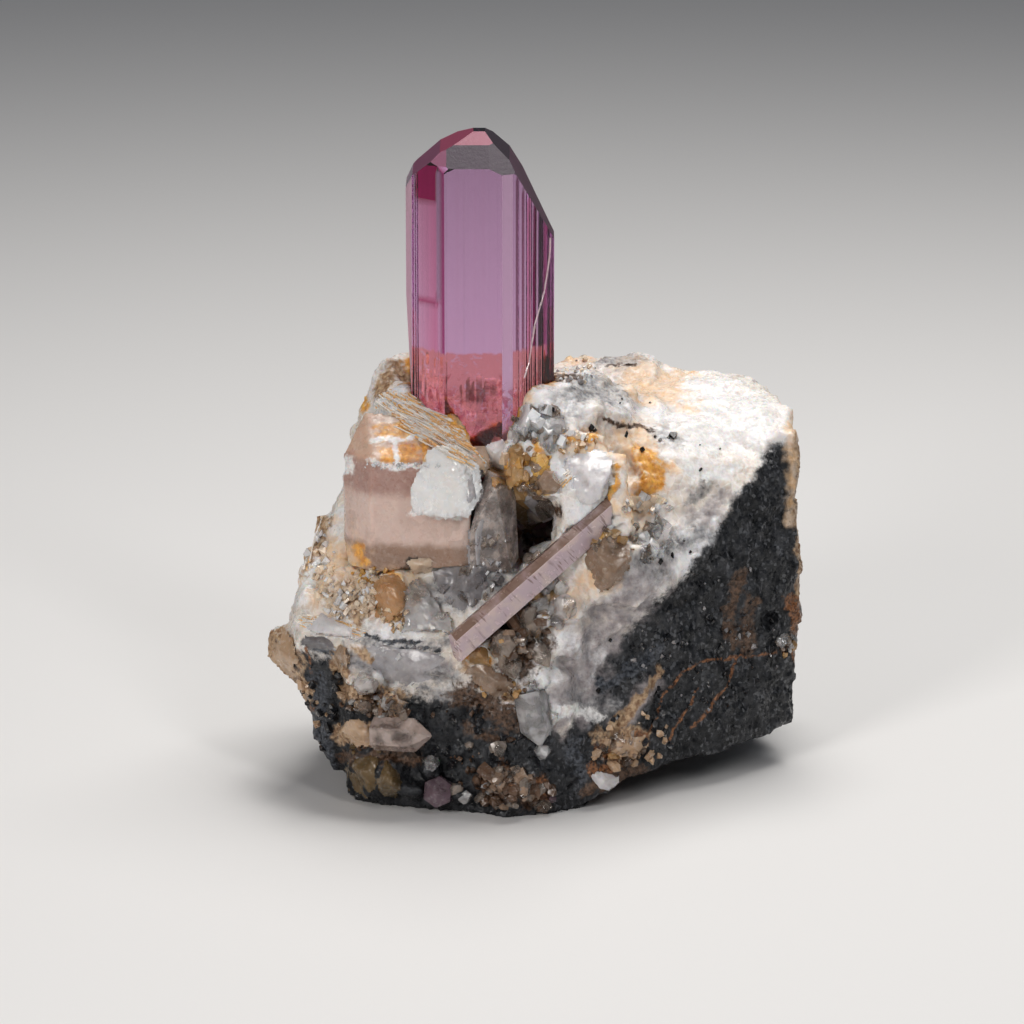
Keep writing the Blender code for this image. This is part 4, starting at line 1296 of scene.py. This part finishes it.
# How deep its back is sunk, how deep its edge is let in, and by how much its swell is multiplied
LUMP_ROOT = 0.7
LUMP_INSET = 0.15
LUMP_GAIN = 1.35
# How many broken faces it has, how strong its chips are, and how often the ground below it is smoothed
LUMP_FACES = 7
LUMP_CHIPS = 0.4
LUMP_SMOOTHING = 6
LUMP_SEED = 3
# The angle from which an edge of a lump is sharp
CREASE = math.radians(28)


def facet_heights(rng, cells, rise):
    """The height of a broken crystal over each cell: the lowest of some slanting planes."""
    spots = np.array([(px, py) for px, py, _ in cells])
    middle, half = spots.mean(axis=0), np.abs(spots - spots.mean(axis=0)).max(axis=0) + 1
    away = (spots - middle) / half
    heights = np.full(len(spots), rise * rng.uniform(0.85, 1.0))
    for _ in range(LUMP_FACES):
        turn = rng.uniform(0, math.tau)
        slope = rng.uniform(0.4, 1.5)
        plane = away @ np.array((math.cos(turn), math.sin(turn)))
        heights = np.minimum(heights, rise * (rng.uniform(0.75, 1.1) - slope * plane))
    return heights


def inside(px, py, corners):
    """Whether a pixel is within a closed outline."""
    within = False
    for (ax, ay), (bx, by) in zip(corners, corners[1:] + corners[:1]):
        if (ay > py) != (by > py) and px < ax + (bx - ax) * (py - ay) / (by - ay):
            within = not within
    return within


def lump(rng, body, ground, tint, clear, rise, steep, chips, corners):
    """A closed cap over an outline: it swells from its edge, and its back is sunk in the ground."""
    across, down = zip(*corners)
    left, right = min(across) - LUMP_MARGIN, max(across) + LUMP_MARGIN
    top, bottom = min(down) - LUMP_MARGIN, max(down) + LUMP_MARGIN
    cells = {}
    for i in range(int((right - left) / LUMP_STEP) + 1):
        for j in range(int((bottom - top) / LUMP_STEP) + 1):
            px, py = left + i * LUMP_STEP, top + j * LUMP_STEP
            shake = noise.noise_vector(Vector((px, py, 0)) / LUMP_WAVE) * LUMP_WAVER
            if inside(px + shake.x, py + shake.y, corners):
                hit = look(ground, px, py)
                if hit[0] is not None:
                    cells[i, j] = (px, py, hit[3])
    around = [(a, b) for a in (-1, 0, 1) for b in (-1, 0, 1)]
    far = {key: value[2] for key, value in cells.items()}
    for _ in range(LUMP_SMOOTHING):
        far = {
            (i, j): np.mean([far[i + a, j + b] for a, b in around if (i + a, j + b) in far]) for i, j in far
        }
    spots = np.array([cell[:2] for cell in cells.values()])
    edges = distance_to_line(spots[:, 0], spots[:, 1], corners + corners[:1])
    half = max(edges)
    front, back = {}, {}
    facets = facet_heights(rng, cells.values(), rise)
    for (key, (px, py, depth)), edge, facet in zip(cells.items(), edges, facets):
        share = min(1.0, edge / (half * steep))
        height = LUMP_GAIN * min(rise * math.sqrt(1 - (1 - share) ** 2), facet) - LUMP_INSET
        along = sight(px, py)
        place = EYE + along * (far[key] - height)
        height = chipped(place) * chips * share * LUMP_CHIPS
        front[key] = body.verts.new(place - along * height)
        back[key] = body.verts.new(EYE + along * (max(depth, far[key]) + LUMP_ROOT))
    tints = body.verts.layers.float_color["tint"]
    clears = body.verts.layers.float["clear"]
    for vert in [*front.values(), *back.values()]:
        vert[tints] = (*tint, 1)
        vert[clears] = clear
    for i, j in cells:
        square = [(i, j), (i + 1, j), (i + 1, j + 1), (i, j + 1)]
        if all(key in cells for key in square):
            body.faces.new([front[key] for key in reversed(square)])
            body.faces.new([back[key] for key in square])
    rim = [e for e in body.edges if len(e.link_faces) == 1]
    return rim, {v: back[key] for key, v in front.items()}


def lumps(name, ground, finish, slot, listed):
    """Every lump of a list in one object, with its front and back closed to each other."""
    body = bmesh.new()
    body.verts.layers.float_color.new("tint")
    body.verts.layers.float.new("clear")
    rng = random.Random(LUMP_SEED)
    for tint, rise, steep, chips, corners in listed:
        colour, clear = varied(rng, tint)
        rim, behind = lump(rng, body, ground, colour, clear, rise, steep, chips, corners)
        for edge in rim:
            a, b = edge.verts
            if a in behind and b in behind:
                body.faces.new([a, b, behind[b], behind[a]])
    loose = [v for v in body.verts if not v.link_faces]
    bmesh.ops.delete(body, geom=loose, context="VERTS")
    bmesh.ops.recalc_face_normals(body, faces=body.faces)
    thing = object_from(name, body, finish, smooth=True)
    thing.data.set_sharp_from_angle(angle=CREASE)
    return dress(thing, slot)


# Black specks on the calcite: pixel and radius
SPECKS = [
    (591, 428, 0.22), (594, 430, 0.16), (626, 435, 0.2), (673, 435, 0.34), (669, 438, 0.2),
    (642, 450, 0.2), (552, 410, 0.2), (660, 440, 0.15), (655, 437, 0.14), (665, 548, 0.16),
    (672, 555, 0.2), (684, 540, 0.14), (690, 552, 0.16), (700, 470, 0.16), (650, 403, 0.1),
    (620, 403, 0.1), (622, 399, 0.09), (720, 449, 0.08), (700, 445, 0.08), (645, 547, 0.15),
    (660, 562, 0.18), (480, 705, 0.14), (610, 640, 0.14), (598, 690, 0.2),
]
SPECK_SEED = 8


def specks(ground, finish):
    rng = random.Random(SPECK_SEED)
    body = bmesh.new()
    for px, py, radius in SPECKS:
        place, normal, _, _ = look(ground, px, py)
        join(body, calcite_block(rng, place, radius, radius * 2, normal), (0, 0, 0), 0.0)
    return dress(object_from("black_specks", body, finish), "matrix")


def speck_finish():
    n = Nodes("black_specks")
    n.set("Base Color", n.mix(n.noise(0.1), (0.004, 0.004, 0.005), (0.03, 0.028, 0.026)))
    n.set("Roughness", n.stretch(n.noise(0.2), 0.3, 0.7, 0.15, 0.4))
    return n.material


# Fibres that lie on the rock: half width of the band and its ends in the picture, how many, and how thick
# they are
FIBRES = [
    (11, (382, 397), (484, 457), 380, 0.055), (8, (400, 420), (478, 464), 120, 0.06),
    (7, (395, 392), (462, 420), 110, 0.055), (4, (318, 520), (303, 575), 26, 0.08),
    (5, (592, 454), (562, 484), 40, 0.06), (7, (306, 620), (358, 634), 130, 0.05),
]
FIBRE_SEED = 17
# The range of a fibre's half length in the picture
FIBRE_REACH = (4, 13)
# A fibre whose ends lie further apart than this would bridge a gap, and is left out.
FIBRE_LONGEST = 4
# How many of them are white, from 0 to 1. The others are orange.
WHITE_SHARE = 0.66
WHITE_FIBRE = (0.98, 0.88, 0.78)
ORANGE_FIBRE = (0.88, 0.50, 0.22)


def splinter(ends, size, lift):
    """A thin strip from one place on a surface to another, with its ends let in."""
    p, q = (place + normal * lift for place, normal, _, _ in ends)
    line = (q - p).normalized()
    side = line.cross(ends[0][1]).normalized()
    up = side.cross(line)
    planes = [(p, -line + up * 0.5), (q, line + up * 0.5)]
    planes += [((p + q) / 2 + v * size, v) for v in (up + side * 0.6, up - side * 0.9, -up, side, -side)]
    planes = [(point, normal.normalized()) for point, normal in planes]
    return cut_block(planes, (p + q) / 2, (q - p).length)


def fibres(ground, finish):
    """Splinters that run side by side from one end of their band to the other."""
    rng = random.Random(FIBRE_SEED)
    body = bmesh.new()
    for half, start, end, count, thickness in FIBRES:
        a, b = np.array(start, float), np.array(end, float)
        along = (b - a) / np.linalg.norm(b - a)
        across = np.array((-along[1], along[0]))
        for _ in range(count):
            middle = a + (b - a) * rng.uniform(0.05, 0.95) + across * half * rng.uniform(-1, 1)
            reach = along * rng.uniform(*FIBRE_REACH) + across * rng.uniform(-1.5, 1.5)
            ends = [look(ground, *(middle + s * reach)) for s in (-1, 1)]
            size = thickness * rng.uniform(0.6, 1.5)
            lift = rng.uniform(-0.02, 0.12)
            fibre = WHITE_FIBRE if rng.random() < WHITE_SHARE else ORANGE_FIBRE
            if ends[0][0] is None or ends[1][0] is None:
                continue
            if (ends[0][0] - ends[1][0]).length > FIBRE_LONGEST:
                continue
            tone = rng.uniform(0.85, 1.1)
            tint = [c * tone for c in fibre]
            join(body, splinter(ends, size, lift), tint, 0.0)
    return dress(object_from("fibrous_calcite", body, finish), "cream_calcite")


# The edge of a healed crack in the pink crystal: the pixels that it runs through, its half width, how far
# it stands out, and its tint and clearness
CRACK = [
    (550, 238), (549.5, 254), (547, 272), (544, 290), (540, 306), (534.5, 325), (531.5, 344), (529, 362),
    (524, 378),
]
CRACK_SIZE = 0.07
CRACK_LIFT = 0.02
CRACK_LOOK = ((0.92, 0.70, 0.72), 0.3)


def crack(crystal, finish):
    surface = tree_from(crystal)
    body = bmesh.new()
    hits = [look(surface, *pixel) for pixel in CRACK]
    hits = [hit for hit in hits if hit[0] is not None]
    for ends in zip(hits, hits[1:]):
        join(body, splinter(ends, CRACK_SIZE, CRACK_LIFT), *CRACK_LOOK)
    return dress(object_from("healed_crack", body, finish), "pink_topaz")


def fibre_finish():
    n = Nodes("fibrous_calcite")
    tint = n.attribute("tint", "Color")
    n.set("Base Color", n.mix(n.stretch(n.noise(0.25, 3), 0.45, 0.7, 0, 0.6), tint, (0.93, 0.90, 0.86)))
    n.set("Roughness", n.stretch(n.noise(0.3), 0.3, 0.7, 0.2, 0.45))
    n.glow(0.4, (1.0, 0.7, 0.5), 0.5)
    return n.material


def main():
    noise.seed_set(NOISE_SEED)
    set_camera()
    set_stage()
    bpy.context.scene.view_settings.view_transform = "Standard"
    bpy.context.scene.view_settings.look = "Medium High Contrast"
    rock = rock_surface(rock_finish())
    crystal = topaz(topaz_finish())
    pale = pale_finish(long_axis("small_topaz_crystal"))
    plain_crystal("slanting_topaz", "small_topaz_crystal", "pale_topaz", pale)
    cream = block_finish()
    block = painted_crystal("cream_calcite", "calcite_crystal", "cream_calcite", cream, BLOCK_VOXEL, 0.15)
    clear = chip_finish("clear_calcite", (0.98, 0.95, 0.92), (0.88, 0.84, 0.81), 0.15, 0.6)
    node = "clear_calcite_crystal"
    chip = painted_crystal("clear_calcite", node, "clear_calcite", clear, CHIP_VOXEL, 0.3)
    smoky = chip_finish("smoky_calcite", (0.70, 0.62, 0.58), (0.50, 0.42, 0.38), 0.7, 0.2)
    side = plain_crystal("smoky_calcite", "smoky_calcite_crystal", "smoky_calcite", smoky, SMOKY_SWELL)
    quartz = tinted("quartz", 0.06, QUARTZ_IOR, soft=0.08)
    for node, tint in QUARTZ_CRYSTALS.items():
        tint_all(plain_crystal(node + "_faces", node, "quartz", quartz), *TINTS[tint])
    ground = tree_from(rock, block, chip, side)
    glassy = tinted("clear_calcite_lumps", 0.14, CALCITE_IOR, 0.2, 0.3)
    lumps("calcite_lumps", ground, glassy, "clear_calcite", CLEAR_LUMPS)
    dull = tinted("stained_lumps", 0.16, STAINED_IOR, 0.25, 0.3)
    lumps("stained_lumps", ground, dull, "matrix", STAINED_LUMPS)
    foot = tinted("foot_lumps", 0.16, STAINED_IOR, 0.25, 0.3)
    lumps("foot_lumps", tree_from(rock, block, chip, side, crystal), foot, "matrix", FOOT_LUMPS)
    for name, (slot, *rest) in CRUSTS.items():
        crust(name, ground, quartz if slot == "quartz" else tinted(name, 0.2, CALCITE_IOR), slot, *rest)
    standing(ground, quartz)
    crack(crystal, tinted("healed_crack", 0.2, TOPAZ_IOR))
    specks(ground, speck_finish())
    fibres(ground, fibre_finish())


main()
